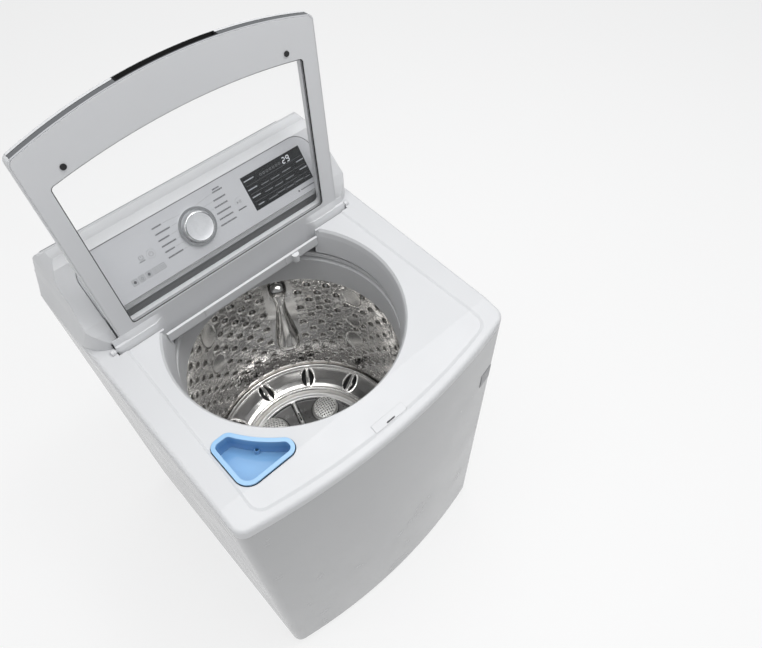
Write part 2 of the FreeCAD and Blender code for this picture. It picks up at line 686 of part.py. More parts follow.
def make_console():
    """Hollow console housing with its inset panel, rear cover and electronics."""
    wall = 3
    depth = D.panel_thick.value
    outside = console_solid("console_outside", 0)
    inside = console_solid("console_inside", wall + 2)
    open_back = box("console_open_back", (600, 60, 110), (-300, BACK - 40, D.deck_top - 1))
    hollow_base = box("console_base_gap", (600, 150, 12), (-300, 215, D.deck_top - 1))
    sweep = rod("console_sweep", D.trough_reach, 2 * D.cheek_half,
                (-D.cheek_half, D.hinge_back, D.hinge_up), "x")
    knuckle_room = box("console_knuckle_room", (2 * D.trough_half, D.lid_tail + 42, 40),
                       (-D.trough_half, D.hinge_back - 40, D.deck_top - 25))
    undercut = pad("console_undercut",
                   [(D.console_foot - 30, D.deck_top - 1), (D.hinge_back + D.trough_reach, D.deck_top - 1),
                    (D.hinge_back + D.trough_reach, D.deck_top + 6), (D.panel_back + 10, D.panel_up - 34),
                    (D.panel_back + 3, D.panel_up - 18), (D.panel_back + 2, D.panel_up - 4),
                    (D.panel_back - 1, D.panel_up - 0.2),
                    (D.console_foot - 30, D.panel_up - 0.2)],
                   2 * D.cheek_half, "YZ_Plane", middle=True)
    liner = pad("console_liner",
                [(D.console_foot - 10, D.deck_top), (D.hinge_back + D.trough_reach + wall, D.deck_top),
                 (D.hinge_back + D.trough_reach + wall, D.deck_top + 26), (D.panel_back + 22, D.panel_up - 16),
                 (D.panel_back + 9, D.panel_up - 3), (D.console_foot - 10, D.panel_up - 3)],
                2 * D.trough_half + 7, "YZ_Plane", middle=True)
    inside = cut("console_inside_clear", inside, liner)
    pocket = panel_plate("panel_pocket", 0.3, -depth, 40)
    behind = panel_plate("panel_behind", -6, -depth - 12, 20)
    keep("console_housing", cut("console_housing", outside, inside, sweep, knuckle_room, undercut, pocket,
                                behind,
                                open_back, hollow_base))

    rear = box("rear_cover_plate", (598, 2, 106), (-299, BACK - 2, D.deck_top))
    keep("console_rear_cover", rear)

    plate = panel_plate("panel_blank", 0, -depth, depth)
    display = panel_box("panel_display_hole", (D.display_wide + 0.4, D.display_tall + 0.4, 8),
                        D.display_left - 0.2, D.display_low - 0.2, -6)
    stem = panel_rod("panel_stem_hole", 5, 20, -D.knob_left, D.knob_rise, -10)
    keys = [panel_rod(f"panel_key_hole{number}", D.key_edge + 0.3, 20, across, rise, -10)
            for number, (across, rise) in enumerate(KEYS)]
    keep("control_panel", cut("control_panel", plate, display, stem, *keys))
    keep("display_window", panel_box("display_window", (D.display_wide, D.display_tall, 3),
                                     D.display_left, D.display_low, -2.7))
    keep("display_board", panel_box("display_board", (D.display_wide - 10, D.display_tall - 10, 5),
                                    D.display_left + 5, D.display_low + 5, -9))
    board = panel_box("board_blank", (250, 92, 1.6), -205, 14, -20)
    chips = [panel_box(f"board_chip{number}", (22, 14, 5), -190 + 46 * number, 24, -25)
             for number in range(4)]
    keep("control_board", cut("control_board", fuse("board_solid", board, *chips),
                              panel_rod("board_stem_hole", 5, 20, -D.knob_left, D.knob_rise, -30)))
    keep("knob_encoder", cut("knob_encoder",
                             panel_box("encoder_body", (16, 16, 9), -D.knob_left - 8, D.knob_rise - 8, -14),
                             panel_rod("encoder_bore", 3 + D.running_gap.value, 20,
                                       -D.knob_left, D.knob_rise, -20)))
    bezel = panel_rod("bezel_disc", D.bezel_edge, 4, -D.knob_left, D.knob_rise, 0.05)
    bore = panel_rod("bezel_bore", D.knob_edge + 2.5, 8, -D.knob_left, D.knob_rise, -1)
    keep("knob_bezel", cut("knob_bezel", bezel, bore))
    cap = panel_rod("knob_cap", D.knob_edge - 1.5, 3, -D.knob_left, D.knob_rise, D.knob_out.value - 3)
    skirt = panel_rod("knob_skirt", D.knob_edge, D.knob_out - 3.6, -D.knob_left, D.knob_rise, 0.6)
    shaft = panel_rod("knob_shaft", 3, 14, -D.knob_left, D.knob_rise, -13)
    keep("cycle_knob", fuse("cycle_knob", cap, skirt, shaft))
    for name, (across, rise) in zip(("power_button", "start_button"), KEYS):
        button = panel_rod(f"{name}_cap", D.key_edge, 4.4, across, rise, -3.9)
        stalk = panel_rod(f"{name}_stalk", 3, 5, across, rise, -8.9)
        keep(name, fuse(name, button, stalk))


KEYS = [(-D.power_left, D.power_rise), (D.start_right, D.start_rise)]


# ---------------------------------------------------------------- lid

CHROME_HALF = 282


def lid_pose():
    """The swing from shut to the standing-open pose, about the hinge line."""
    pivot = Vector(0, D.hinge_back.value, D.hinge_up.value)
    return Placement(Vector(), Rotation(Vector(1, 0, 0), -D.lid_angle.value), pivot)


def lid_outline(back, corner, apex, half_back, half_front):
    """A lid-shaped plan, drawn shut: tapered sides and a bowed front edge."""
    bow = as_size(apex) - corner
    half = as_size(half_front).value
    radius = (half ** 2 + bow.value ** 2) / (2 * bow.value)
    hinge = D.hinge_back
    return [(half_back, hinge - back), (-half_back, hinge - back),
            (-half_front, hinge - corner, radius), (half_front, hinge - corner)]


def lid_block(name, grow, low, thick):
    """A slab of the lid's own outline, inset when grow is negative."""
    half_back = D.lid_half_back + grow
    half_front = D.lid_half_front + grow
    points = lid_outline(-D.lid_tail - grow, D.lid_corner + grow, D.lid_apex + grow, half_back, half_front)
    body = pad(name, points, thick, at=(0, 0, D.lid_seat + low))
    return rounded(f"{name}_rounded", body, 14, upright)


def window_block(name, grow, low, thick, corner=9.0):
    half_back = D.window_half_back + grow
    half_front = D.window_half_front + grow
    points = lid_outline(D.window_back - grow, D.window_corner + grow, D.window_apex + grow,
                         half_back, half_front)
    body = pad(name, points, thick, at=(0, 0, D.lid_seat + low))
    return rounded(f"{name}_rounded", body, corner, upright)


def front_band(name, inner, outer, low, thick, half):
    """A strip of the lid's front edge between two distances from it."""
    hinge = D.hinge_back
    outer_block = lid_block(f"{name}_outer", -outer, low, thick)
    inner_block = lid_block(f"{name}_inner", -inner, low - 1, as_size(thick) + 2)
    limit = box(f"{name}_limit", (2 * as_size(half), D.lid_apex - D.lid_corner + 24, 60),
                (-as_size(half), hinge - D.lid_apex - 20, D.lid_seat - 20))
    return common(f"{name}_band", cut(f"{name}_ring", outer_block, inner_block), limit)


def make_lid():
    """Lid in its own layers: grey underside, gasket, glass, white top, chrome edge and handle."""
    swing = lid_pose()
    inner_thick = 9.0
    hollow = window_block("inner_window", 0, -20, 60)
    frame = lid_block("inner_slab", -2.4, 0, inner_thick)
    knuckles = [rounded(f"knuckle_soft{number}",
                        box(f"knuckle{number}", (82, 50, 17), (start, D.hinge_back - 7, D.lid_seat - 8)),
                        7, lambda edge: not upright(edge) and edge.BoundBox.ZMax < D.lid_seat.value - 7.9
                        and edge.BoundBox.XLength > 20)
                for number, start in enumerate((-294, 212))]
    pin_holes = [rod(f"pin_bore{number}", 4 + D.running_gap, 30, (start, D.hinge_back, D.hinge_up), "x")
                 for number, start in enumerate((-300, 270))]
    bumper_holes = [rod(f"bumper_hole{number}", 3, 10, (across, D.hinge_back - 412, D.lid_seat - 2))
                    for number, across in enumerate((-220, 220))]
    handle_gap = handle_block("frame_handle_gap", 0.3, 3.2, 60)
    rebate = window_block("glass_rebate", 8.2, 1.5, 20, 14)
    magnet_hole = box("magnet_hole", (30.4, 10.4, 8), (-15.2, D.hinge_back - 450.2, D.lid_seat + 3))
    keep("lid_inner_frame", cut("lid_inner_frame", fuse("inner_solid", frame, *knuckles),
                                hollow, rebate, handle_gap, magnet_hole,
                                front_band("frame_chrome_gap", 5.3, -20, 0.7, 40, CHROME_HALF + 0.3),
                                *pin_holes, *bumper_holes), swing)

    seal = cut("gasket_ring", window_block("gasket_out", 7.5, 1.6, 1.2, 13.5),
               window_block("gasket_in", -1.6, 0, 30, 8.0))
    keep("lid_gasket", keep_name("lid_gasket", seal), swing)
    keep("lid_glass", keep_name("lid_glass", window_block("glass_pane", 7.5, 2.9, 4, 13.5)), swing)

    top_low = inner_thick + 0.05
    slab = lid_block("top_slab", 0, top_low, D.lid_thick - top_low)
    skirt = cut("top_skirt", lid_block("skirt_out", 0, 0, top_low + 1),
                lid_block("skirt_in", -2.2, -1, top_low + 3))
    tub_side = box("skirt_tail_gap", (700, 60, 60), (-350, D.hinge_back - 12, D.lid_seat - 20))
    skirt = cut("top_skirt_open", skirt, tub_side)
    soft = rounded("top_soft", fuse("top_solid", slab, skirt), 6,
                   lambda edge: at_height(edge, (D.lid_seat + D.lid_thick).value))
    keep("lid_top_panel", cut("lid_top_panel", soft,
                              window_block("top_window", 1.5, -20, 80, 10),
                              window_block("top_rebate", 8.2, 5, 7.5, 14),
                              front_band("top_chrome_gap", 5.3, -20, -20, 39.5, CHROME_HALF + 0.3),
                              handle_block("top_handle_gap", 0.3, 3.2, 16.1)), swing)

    chrome = front_band("chrome", 5, 0, 1, 18, CHROME_HALF)
    keep("lid_chrome_trim", cut("lid_chrome_trim", chrome, handle_block("chrome_handle_gap", 0.3, 3.2, 60)),
         swing)
    grip = handle_block("grip_block", 0, 3.5, 15.5)
    keep("lid_handle_insert", cut("lid_handle_insert", grip,
                                  handle_hollow("grip_hollow")), swing)
    for number, across in enumerate((-220, 220)):
        rod(f"bumper_head{number}", 5.3, 2.2, (across, D.hinge_back - 412, D.lid_seat - 2.2))
        rod(f"bumper_stem{number}", 2.9, 6, (across, D.hinge_back - 412, D.lid_seat))
    doc.recompute()
    heads = [doc.getObject(f"bumper_head{number}").Shape.fuse(doc.getObject(f"bumper_stem{number}").Shape)
             for number in range(2)]
    keep("lid_bumpers", group("lid_bumpers", heads), swing)
    keep("lid_magnet", box("lid_magnet", (30, 10, 5.6), (-15, D.hinge_back - 450, D.lid_seat + 3.2)), swing)
    pins = [Part.makeCylinder(4, 34, Vector(start, D.hinge_back.value, D.hinge_up.value), Vector(1, 0, 0))
            for start in (-306, 272)]
    keep("hinge_pins", group("hinge_pins", pins))


def keep_name(name, obj):
    """Give a finished object the node's name as its label."""
    obj.Label = name
    return obj


def handle_block(name, grow, low, thick):
    """The middle stretch of the front edge that holds the grip, a little way into the lid."""
    outer = lid_block(f"{name}_out", 0, low, thick)
    inner = lid_block(f"{name}_in", -20 - grow, low - 1, as_size(thick) + 2)
    limit = box(f"{name}_limit", (190 + 2 * grow, 140, 90),
                (-91 - grow, D.hinge_back - D.lid_apex - 20, D.lid_seat - 30))
    return common(name, cut(f"{name}_ring", outer, inner), limit)


def handle_hollow(name):
    """The finger space inside the grip, open to the front."""
    outer = lid_block(f"{name}_out", 3, 5.5, 11.5)
    inner = lid_block(f"{name}_in", -17, 4, 14)
    limit = box(f"{name}_limit", (182, 140, 90), (-87, D.hinge_back - D.lid_apex - 30, D.lid_seat - 30))
    return common(name, cut(f"{name}_ring", outer, inner), limit)


# ---------------------------------------------------------------- hanging tub

def ring_outline(inner, outer, low, high):
    return [(inner, low), (outer, low), (outer, high), (inner, high)]


def make_tub():
    """Plastic outer tub, its cover ring, bearing housing, bearings, seal and stator."""
    inner, wall, floor = D.tub_inner, D.tub_wall, D.tub_floor
    outer = inner + wall
    shell = turned("tub_shell", [(62, floor), (outer, floor), (outer, D.tub_rim), (outer + 6, D.tub_rim),
                                 (outer + 6, D.tub_rim + 4), (inner, D.tub_rim + 4), (inner, floor + wall),
                                 (62, floor + wall)])
    lugs = []
    for number, (across, along) in enumerate(ROD_SPOTS):
        turn = math.degrees(math.atan2(along - AXIS_Y.value, across))
        reach = math.hypot(across, along - AXIS_Y.value)
        lug = box(f"tub_lug{number}", (reach + 16 - outer.value + 3, 44, 12), (0, 0, 0))
        lug.Placement = Placement(Vector(0, AXIS_Y.value, LUG_UP), Rotation(Vector(0, 0, 1), turn)).multiply(
            Placement(Vector(outer.value - 3, -22, 0), Rotation()))
        lugs.append(lug)
    rod_holes = [rod(f"lug_hole{number}", 9, 40, (across, along, LUG_UP - 10))
                 for number, (across, along) in enumerate(ROD_SPOTS)]
    sump = rod("sump_hole", 18, 20, (150, AXIS_Y - 60, floor - 5))
    keep("outer_tub", cut("outer_tub", fuse("tub_solid", shell, *lugs), sump, *rod_holes))

    keep("tub_cover", turned("tub_cover", [
        (D.mouth_neck + 2, D.tub_rim + 18), (outer + 5, D.tub_rim + 4.1), (outer + 5, D.tub_rim + 8),
        (D.mouth_neck + 10, D.tub_rim + 22), (D.mouth_neck + 5, D.tub_rim + 30),
        (D.mouth_neck + 2, D.tub_rim + 30)]))

    hub = floor + wall
    keep("bearing_housing", turned("bearing_housing", [
        (BEARING_OUT, floor - 42), (44, floor - 42), (44, floor - 14), (118, floor - 8), (118, floor - 0.1),
        (61.6, floor - 0.1), (61.6, hub), (44, hub), (44, floor + 34), (BEARING_OUT, floor + 34)]))
    lower, upper = (ring_outline(SLEEVE_OUT, BEARING_OUT - 0.02, start, start + 15)
                    for start in (floor - 40, floor + 2))
    doc.recompute()
    turned("bearing_lower", lower)
    turned("bearing_upper", upper)
    doc.recompute()
    keep("tub_bearings", group("tub_bearings", [doc.getObject("bearing_lower").Shape.copy(),
                                                doc.getObject("bearing_upper").Shape.copy()]))
    keep("water_seal", turned("water_seal", ring_outline(SLEEVE_OUT, BEARING_OUT - 0.02,
                                                         floor + 20, floor + 32)))
    stator_low = floor - 50
    core = turned("stator_core", ring_outline(56, D.stator_edge - 22, stator_low, stator_low + 26))
    legs = turned("stator_bolts", ring_outline(56, 70, stator_low + 26, floor - 13.8))
    teeth = []
    for number in range(18):
        tooth = box(f"stator_tooth{number}", (24, 15, 20), (0, 0, 0))
        spin = Rotation(Vector(0, 0, 1), number * 20)
        tooth.Placement = Placement(Vector(0, AXIS_Y.value, stator_low.value + 3), spin).multiply(
            Placement(Vector(D.stator_edge.value - 24, -7.5, 0), Rotation()))
        teeth.append(tooth)
    keep("stator", fuse("stator", core, legs, *teeth))


BEARING_OUT = 31
SLEEVE_OUT = 20 + D.running_gap
LUG_UP = 262
ROD_SPOTS = [(side * 288, along) for side in (-1, 1) for along in (-262, 232)]


def make_suspension():
    """Four rods that hang from corner cups and carry the tub on springs under its lugs."""
    rod_low, rod_high = 206, 892
    hanger_high = 903
    shapes = []
    for across, along in ROD_SPOTS:
        stem = Part.makeCylinder(4.5, rod_high - rod_low, Vector(across, along, rod_low))
        ball = Part.makeSphere(9, Vector(across, along, rod_high - 2))
        foot = Part.makeCylinder(21, 3, Vector(across, along, rod_low))
        shapes.append(stem.fuse([ball, foot]).removeSplitter())
    keep("suspension_rods", group("suspension_rods", shapes))
    hangers = []
    for across, along in ROD_SPOTS:
        side = 1 if across > 0 else -1
        wall_x = side * (HALF.value - D.sheet_steel.value)
        shelf = Part.makeBox(abs(wall_x - across) + 20, 44, 4)
        low_x = min(wall_x, across - side * 20)
        shelf.translate(Vector(low_x, along - 22, hanger_high - 24))
        flange = Part.makeBox(2, 44, 40)
        flange.translate(Vector(wall_x - (2 if side > 0 else 0), along - 22, hanger_high - 60))
        hole = Part.makeCylinder(6, 20, Vector(across, along, hanger_high - 34))
        seat = Part.makeSphere(9.05, Vector(across, along, rod_high - 2))
        hangers.append(shelf.fuse(flange).cut(hole).cut(seat).removeSplitter())
    keep("suspension_hangers", group("suspension_hangers", hangers))
    coils = []
    for across, along in ROD_SPOTS:
        helix = Part.makeHelix(9.0, LUG_UP - rod_low - 8, 15)
        profile = Part.Wire(Part.makeCircle(2.0, Vector(15, 0, 0), Vector(0, 1, 0)))
        coil = Part.Wire(helix).makePipeShell([profile], True, True)
        coils.append(moved(coil, (across, along, rod_low + 5.4)))
    keep("suspension_springs", group("suspension_springs", coils))


# ---------------------------------------------------------------- basket

def make_basket():
    """Stainless drum with its base, balance ring, hub, sleeve shaft and lint filters."""
    inner, wall = D.drum_inner, D.drum_wall
    floor, rim = D.drum_floor, D.drum_rim
    keep("basket_drum", turned("basket_drum", [
        (inner, floor), (inner + wall, floor), (inner + wall, rim), (inner, rim)]))
    base = turned("base_dish", [
        (70, floor - 12), (inner - 14, floor - 12), (inner - 0.1, floor + 2), (inner - 0.1, floor + 14),
        (inner - 5, floor + 14), (inner - 22, floor + 26), (D.pulsator_edge + 18, floor + 26),
        (D.pulsator_edge + 8, floor + 18), (D.pulsator_edge + 4, floor - 8), (70, floor - 8)])
    slots = []
    for number in range(SLOTS):
        slot = box(f"base_slot{number}", (15, 9, 60), (0, 0, 0))
        spin = Rotation(Vector(0, 0, 1), number * 360.0 / SLOTS + SLOT_START)
        slot.Placement = Placement(Vector(0, AXIS_Y.value, floor.value - 2), spin).multiply(
            Placement(Vector(228, -4.5, 0), Rotation()))
        slots.append(slot)
    keep("basket_base", cut("basket_base", base, *slots))
    keep("balance_ring", turned("balance_ring", [
        (D.balance_inner, rim + 0.1), (inner + wall + 4, rim + 0.1), (inner + wall + 4, rim + 60),
        (D.balance_inner + 8, rim + D.balance_height - 1), (D.balance_inner, rim + D.balance_height - 6)]))
    hub = turned("hub_disc", [(22.3, floor - 54), (60, floor - 54), (66, floor - 26), (66, floor - 12.1),
                              (22.3, floor - 12.1)])
    arms = []
    for number in range(3):
        arm = box(f"hub_arm{number}", (inner.value - 66, 52, 12), (0, 0, 0))
        spin = Rotation(Vector(0, 0, 1), number * 120 + 30)
        arm.Placement = Placement(Vector(0, AXIS_Y.value, floor.value - 24.2), spin).multiply(
            Placement(Vector(60, -26, 0), Rotation()))
        arms.append(arm)
    keep("basket_hub", fuse("basket_hub", hub, *arms))
    keep("basket_sleeve", turned("basket_sleeve", [
        (D.shaft_edge + D.running_gap, D.tub_floor - 46), (20, D.tub_floor - 46), (20, floor - 56),
        (22, floor - 56), (22, floor - 12.2), (D.shaft_edge + D.running_gap, floor - 12.2)]))
    filters = []
    for turn in FILTER_TURNS:
        front_face = inner.value - 26
        low, high = floor.value + 140, rim.value - 36
        wide = Part.makeCylinder(34, 24, Vector(0, 0, 0))
        neck = Part.makeBox(20, 34, high - low)
        neck.translate(Vector(0, -17, low))
        foot = Part.makeBox(20, 64, 90)
        foot.translate(Vector(0, -32, low))
        head = Part.makeCylinder(26, 22, Vector(0, 0, high - 22))
        head.translate(Vector(10, 0, 0))
        limit = Part.makeCylinder(inner.value - 0.4, 900, Vector(-front_face, 0, 0))
        column = neck.fuse([foot, head]).common(limit)
        column.translate(Vector(front_face, 0, 0))
        column.rotate(Vector(0, 0, 0), Vector(0, 0, 1), turn)
        column.translate(Vector(0, AXIS_Y.value, 0))
        filters.append(column.removeSplitter())
    keep("lint_filters", group("lint_filters", filters))


SLOTS = 11
SLOT_START = 22.6
FILTER_TURNS = (63, 183, 303)


def make_pulsator():
    """Wash plate with raised petals, its cap, the drive shaft, the rotor and their nut."""
    floor = D.drum_floor
    edge = D.pulsator_edge
    dish = turned("pulsator_dish", [
        (0, floor + 6), (edge - 6, floor - 4), (edge, floor + 2), (edge, floor + 14), (edge - 4, floor + 16),
        (edge - 12, floor + 8), (60, floor + 22), (40, floor + 44), (0, floor + 46)])
    petals = []
    for number in range(PETALS):
        petal = rod(f"petal{number}", 35, 26, (0, 0, 0))
        spin = Rotation(Vector(0, 0, 1), number * 360.0 / PETALS + PETAL_START)
        petal.Placement = Placement(Vector(0, AXIS_Y.value, floor.value + 6), spin).multiply(
            Placement(Vector(136, 0, 0), Rotation()))
        petals.append(petal)
    solid = fuse("pulsator_solid", dish, *petals)
    keep("pulsator", cut("pulsator", solid,
                         rod("pulsator_bore", 9, 60, (0, AXIS_Y, floor - 20)),
                         rod("cap_pocket", 24.2, 20, (0, AXIS_Y, floor + 40))))
    keep("pulsator_cap", rod("pulsator_cap", 24, 12, (0, AXIS_Y, floor + 40.2)))
    lower = turned("shaft_lower", [(0, D.tub_floor - 74), (D.shaft_edge, D.tub_floor - 74),
                                   (D.shaft_edge, floor - 12), (8.95, floor - 12), (8.95, floor + 38),
                                   (0, floor + 38)])
    keep("drive_shaft", lower)
    low = D.tub_floor - 66
    keep("rotor", turned("rotor", [
        (D.shaft_edge + 0.1, low), (D.rotor_edge, low), (D.rotor_edge, low + 46), (D.rotor_edge - 14, low + 46),
        (D.rotor_edge - 14, low + 5), (26, low + 5), (26, low + 14), (D.shaft_edge + 0.1, low + 14)]))
    keep("rotor_nut", cut("rotor_nut", rod("rotor_nut_body", 17, 7.5, (0, AXIS_Y, low - 7.6)),
                          rod("rotor_nut_bore", D.shaft_edge + 0.02, 12, (0, AXIS_Y, low - 10))))


PETALS = 5
PETAL_START = 36.7


# ---------------------------------------------------------------- water, drain and cord

def make_services():
    """Inlet valve with two threaded ports, drain spigot, cord gland, and the drain pump."""
    panel_y = BACK - D.rear_inset
    body = box("valve_body", (104, 40, 44), (148, panel_y - 46, 858))
    ports = [tube(f"valve_port{number}", 13.2, 8, 62, (across, panel_y - 46, 880), "y")
             for number, across in enumerate(INLET_ACROSS)]
    flow = [rod(f"valve_flow{number}", 8, 80, (across, panel_y - 40, 880), "y")
            for number, across in enumerate(INLET_ACROSS)]
    keep("inlet_valve", cut("inlet_valve", fuse("valve_solid", body, *ports), *flow))
    keep("drain_spigot", tube("drain_spigot", 15, 11.5, 46, (DRAIN_ACROSS, panel_y - 30, 840), "y"))
    keep("power_gland", fuse("power_gland",
                             tube("gland_collar", 12, 5, 3, (CORD_ACROSS, panel_y + D.sheet_steel, 880), "y"),
                             tube("gland_neck", 8.9, 5, 16, (CORD_ACROSS, panel_y - 10, 880), "y")))
    screws = [Part.makeCylinder(4.5, 2.4, Vector(across, panel_y.value + D.sheet_steel.value, up),
                                Vector(0, 1, 0)).fuse(
              Part.makeCylinder(2.0, 9, Vector(across, panel_y.value - 7.8, up), Vector(0, 1, 0)))
              for across, up in REAR_SCREWS]
    keep("rear_screws", group("rear_screws", [screw.removeSplitter() for screw in screws]))

    x, y, z = 222, -150, 34.1
    casing = rod("pump_casing", 38, 36, (x, y, z))
    chamber = rod("pump_chamber", 32, 26, (x, y, z + 4))
    motor = rod("pump_motor", 27, 42, (x, y, z + 36))
    spout = tube("pump_spout", 11, 8, 40, (x + 20, y + 20, z + 17), "x")
    mouth = tube("pump_mouth", 16, 12, 46, (x - 80, y, z + 17), "x")
    foot = box("pump_foot", (60, 60, 10), (x - 30, y - 30, z - 2 - 10 + 2))
    bore = rod("pump_bore", 3 + D.running_gap, 70, (x, y, z + 10))
    keep("drain_pump", cut("drain_pump", fuse("pump_solid", casing, motor, foot, spout, mouth),
                           chamber, bore, rod("pump_mouth_way", 12, 60, (x - 80, y, z + 17), "x")))
    wheel = rod("impeller_hub", 8, 18, (x, y, z + 8))
    blades = [box(f"impeller_blade{number}", (56, 3, 14), (0, 0, 0)) for number in range(2)]
    for number, blade in enumerate(blades):
        spin = Rotation(Vector(0, 0, 1), number * 90)
        blade.Placement = Placement(Vector(x, y, z + 9), spin).multiply(
            Placement(Vector(-28, -1.5, 0), Rotation()))
    axle = rod("impeller_axle", 3, 50, (x, y, z + 12))
    keep("pump_impeller", fuse("pump_impeller", wheel, axle, *blades))


# ---------------------------------------------------------------- build and write

def failed_states():
    return [obj.Label for obj in doc.Objects
            if any(word in state for state in obj.State for word in ("Invalid", "Error"))]


def check_and_write():
    doc.recompute()
    faults = [f"{label} did not recompute" for label in failed_states()]
    for name, obj in MADE.items():
        shape = obj.Shape
        if shape.isNull() or not shape.isValid() or not shape.Solids:
            faults.append(f"{name} has no valid solid")
    if faults:
        raise RuntimeError("; ".join(faults))
    os.makedirs("parts", exist_ok=True)
    for name, obj in MADE.items():
        obj.Shape.exportStep(os.path.join("parts", f"{name}.step"))
    print(len(MADE), "nodes written")


make_cabinet()
make_feet()
make_top_cover()
make_cup()
make_inlet_bar()
make_lid_switch()
make_badge()
make_console()
make_lid()
make_tub()
make_suspension()
make_basket()
make_pulsator()
make_services()
check_and_write()
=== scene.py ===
import bpy
import itertools
import json
import math
import numpy as np
from mathutils import Matrix, Vector


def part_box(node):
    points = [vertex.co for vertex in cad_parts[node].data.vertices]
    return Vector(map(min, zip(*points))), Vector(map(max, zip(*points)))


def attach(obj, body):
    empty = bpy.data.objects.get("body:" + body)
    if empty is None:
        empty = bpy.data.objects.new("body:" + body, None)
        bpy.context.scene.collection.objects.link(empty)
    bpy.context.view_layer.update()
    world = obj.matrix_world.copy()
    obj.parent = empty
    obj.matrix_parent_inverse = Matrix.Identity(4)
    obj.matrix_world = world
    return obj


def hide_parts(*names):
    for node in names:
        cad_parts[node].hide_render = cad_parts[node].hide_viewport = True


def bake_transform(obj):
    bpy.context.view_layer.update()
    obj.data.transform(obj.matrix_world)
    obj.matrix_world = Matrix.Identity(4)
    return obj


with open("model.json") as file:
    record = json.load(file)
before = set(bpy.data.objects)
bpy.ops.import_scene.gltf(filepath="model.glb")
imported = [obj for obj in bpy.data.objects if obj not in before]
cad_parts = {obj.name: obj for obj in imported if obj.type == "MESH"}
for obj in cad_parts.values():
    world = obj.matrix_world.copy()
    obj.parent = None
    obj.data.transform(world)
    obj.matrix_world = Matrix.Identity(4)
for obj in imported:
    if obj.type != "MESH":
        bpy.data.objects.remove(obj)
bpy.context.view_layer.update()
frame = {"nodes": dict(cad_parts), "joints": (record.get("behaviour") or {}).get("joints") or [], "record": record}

NODES = {name: bpy.data.objects[name] for name in frame["nodes"]}


def joint(name):
    """The frame's own entry for a joint."""
    return next(entry for entry in frame["joints"] if entry["name"] == name)


def add_object(name, data):
    """A new object in the scene with the given mesh, light or camera."""
    made = bpy.data.objects.new(name, data)
    bpy.context.scene.collection.objects.link(made)
    return made


# ---- materials ----

def set_sockets(shader_node, values):
    """Constant values on a node's own sockets."""
    for socket, value in values.items():
        shader_node.inputs[socket].default_value = value


def shader_of(material):
    """The material's Principled node."""
    return material.node_tree.nodes["Principled BSDF"]


def new_material(name, color, rough, metal=0.0, ior=1.5, coat=0.0, coat_rough=0.05):
    """A Principled material with its constant values on the shader's own sockets."""
    material = bpy.data.materials.new(name)
    material.use_nodes = True
    set_sockets(shader_of(material), {"Base Color": (*color, 1.0), "Roughness": rough, "Metallic": metal,
                                      "IOR": ior, "Coat Weight": coat, "Coat Roughness": coat_rough})
    return material


def node(material, kind, **values):
    """A shader node with its values set on sockets of those names, or else as properties."""
    made = material.node_tree.nodes.new(kind)
    for key, value in values.items():
        if key in made.inputs:
            made.inputs[key].default_value = value
        else:
            setattr(made, key, value)
    return made


def link(material, source, target):
    """Joins one socket to another."""
    material.node_tree.links.new(source, target)


def object_coordinates(material, scale=(1, 1, 1)):
    """Object-space places, drawn out along an axis where its scale is under the others."""
    place = node(material, "ShaderNodeTexCoord")
    mapping = node(material, "ShaderNodeMapping")
    mapping.inputs["Scale"].default_value = scale
    link(material, place.outputs["Object"], mapping.inputs["Vector"])
    return mapping.outputs["Vector"]


def noise(material, vector, scale, detail=3.0, rough=0.55):
    """Noise texture over the given coordinates."""
    made = node(material, "ShaderNodeTexNoise", Scale=scale, Detail=detail, Roughness=rough)
    link(material, vector, made.inputs["Vector"])
    return made.outputs["Fac"]


def ramp(material, source, stops):
    """Colour ramp from (position, colour or grey) stops."""
    made = node(material, "ShaderNodeValToRGB")
    points = made.color_ramp.elements
    while len(points) < len(stops):
        points.new(0.5)
    for point, (spot, color) in zip(points, stops):
        point.position = spot
        point.color = (*color, 1.0) if isinstance(color, tuple) else (color, color, color, 1.0)
    link(material, source, made.inputs["Fac"])
    return made.outputs["Color"]


def share_between(material, source, low, high):
    """How far the source is from one value to another, 0 to 1."""
    made = node(material, "ShaderNodeMapRange")
    set_sockets(made, {"From Min": low, "From Max": high})
    link(material, source, made.inputs["Value"])
    return made.outputs["Result"]


def feed(material, source, socket):
    """Joins a source to one of the shader's own sockets."""
    link(material, source, shader_of(material).inputs[socket])


def vary_color(material, source, dark, light):
    """Base colour that drifts between two colours with the source."""
    feed(material, ramp(material, source, [(0.3, dark), (0.7, light)]), "Base Color")


def vary_rough(material, source, low, high):
    """Roughness that drifts between two values with the source."""
    feed(material, ramp(material, source, [(0.25, low), (0.75, high)]), "Roughness")


def add_bump(material, source, strength, distance, soft_edge=0.0):
    """Fine relief, over edges that read as slightly rounded where soft_edge is given in metres."""
    bump = node(material, "ShaderNodeBump", Strength=strength, Distance=distance)
    link(material, source, bump.inputs["Height"])
    if soft_edge:
        bevel = node(material, "ShaderNodeBevel", Radius=soft_edge)
        bevel.samples = 6
        link(material, bevel.outputs["Normal"], bump.inputs["Normal"])
    feed(material, bump.outputs["Normal"], "Normal")


def shade(color, factor):
    """A colour made darker or lighter by a factor."""
    return tuple(min(channel * factor, 1.0) for channel in color)


def painted(name, color, rough=0.22, coat=0.4, peel=0.05, edge=0.0015):
    """Baked enamel: faint orange peel, dust in the gloss and a slow drift in the white."""
    material = new_material(name, color, rough, coat=coat, coat_rough=0.08)
    place = object_coordinates(material)
    vary_color(material, noise(material, place, 3.0), shade(color, 0.99), shade(color, 1.01))
    vary_rough(material, noise(material, place, 9.0, 5.0), rough * 0.8, rough * 1.35)
    add_bump(material, noise(material, place, 200.0, 1.0), peel, 0.0001, edge)
    return material


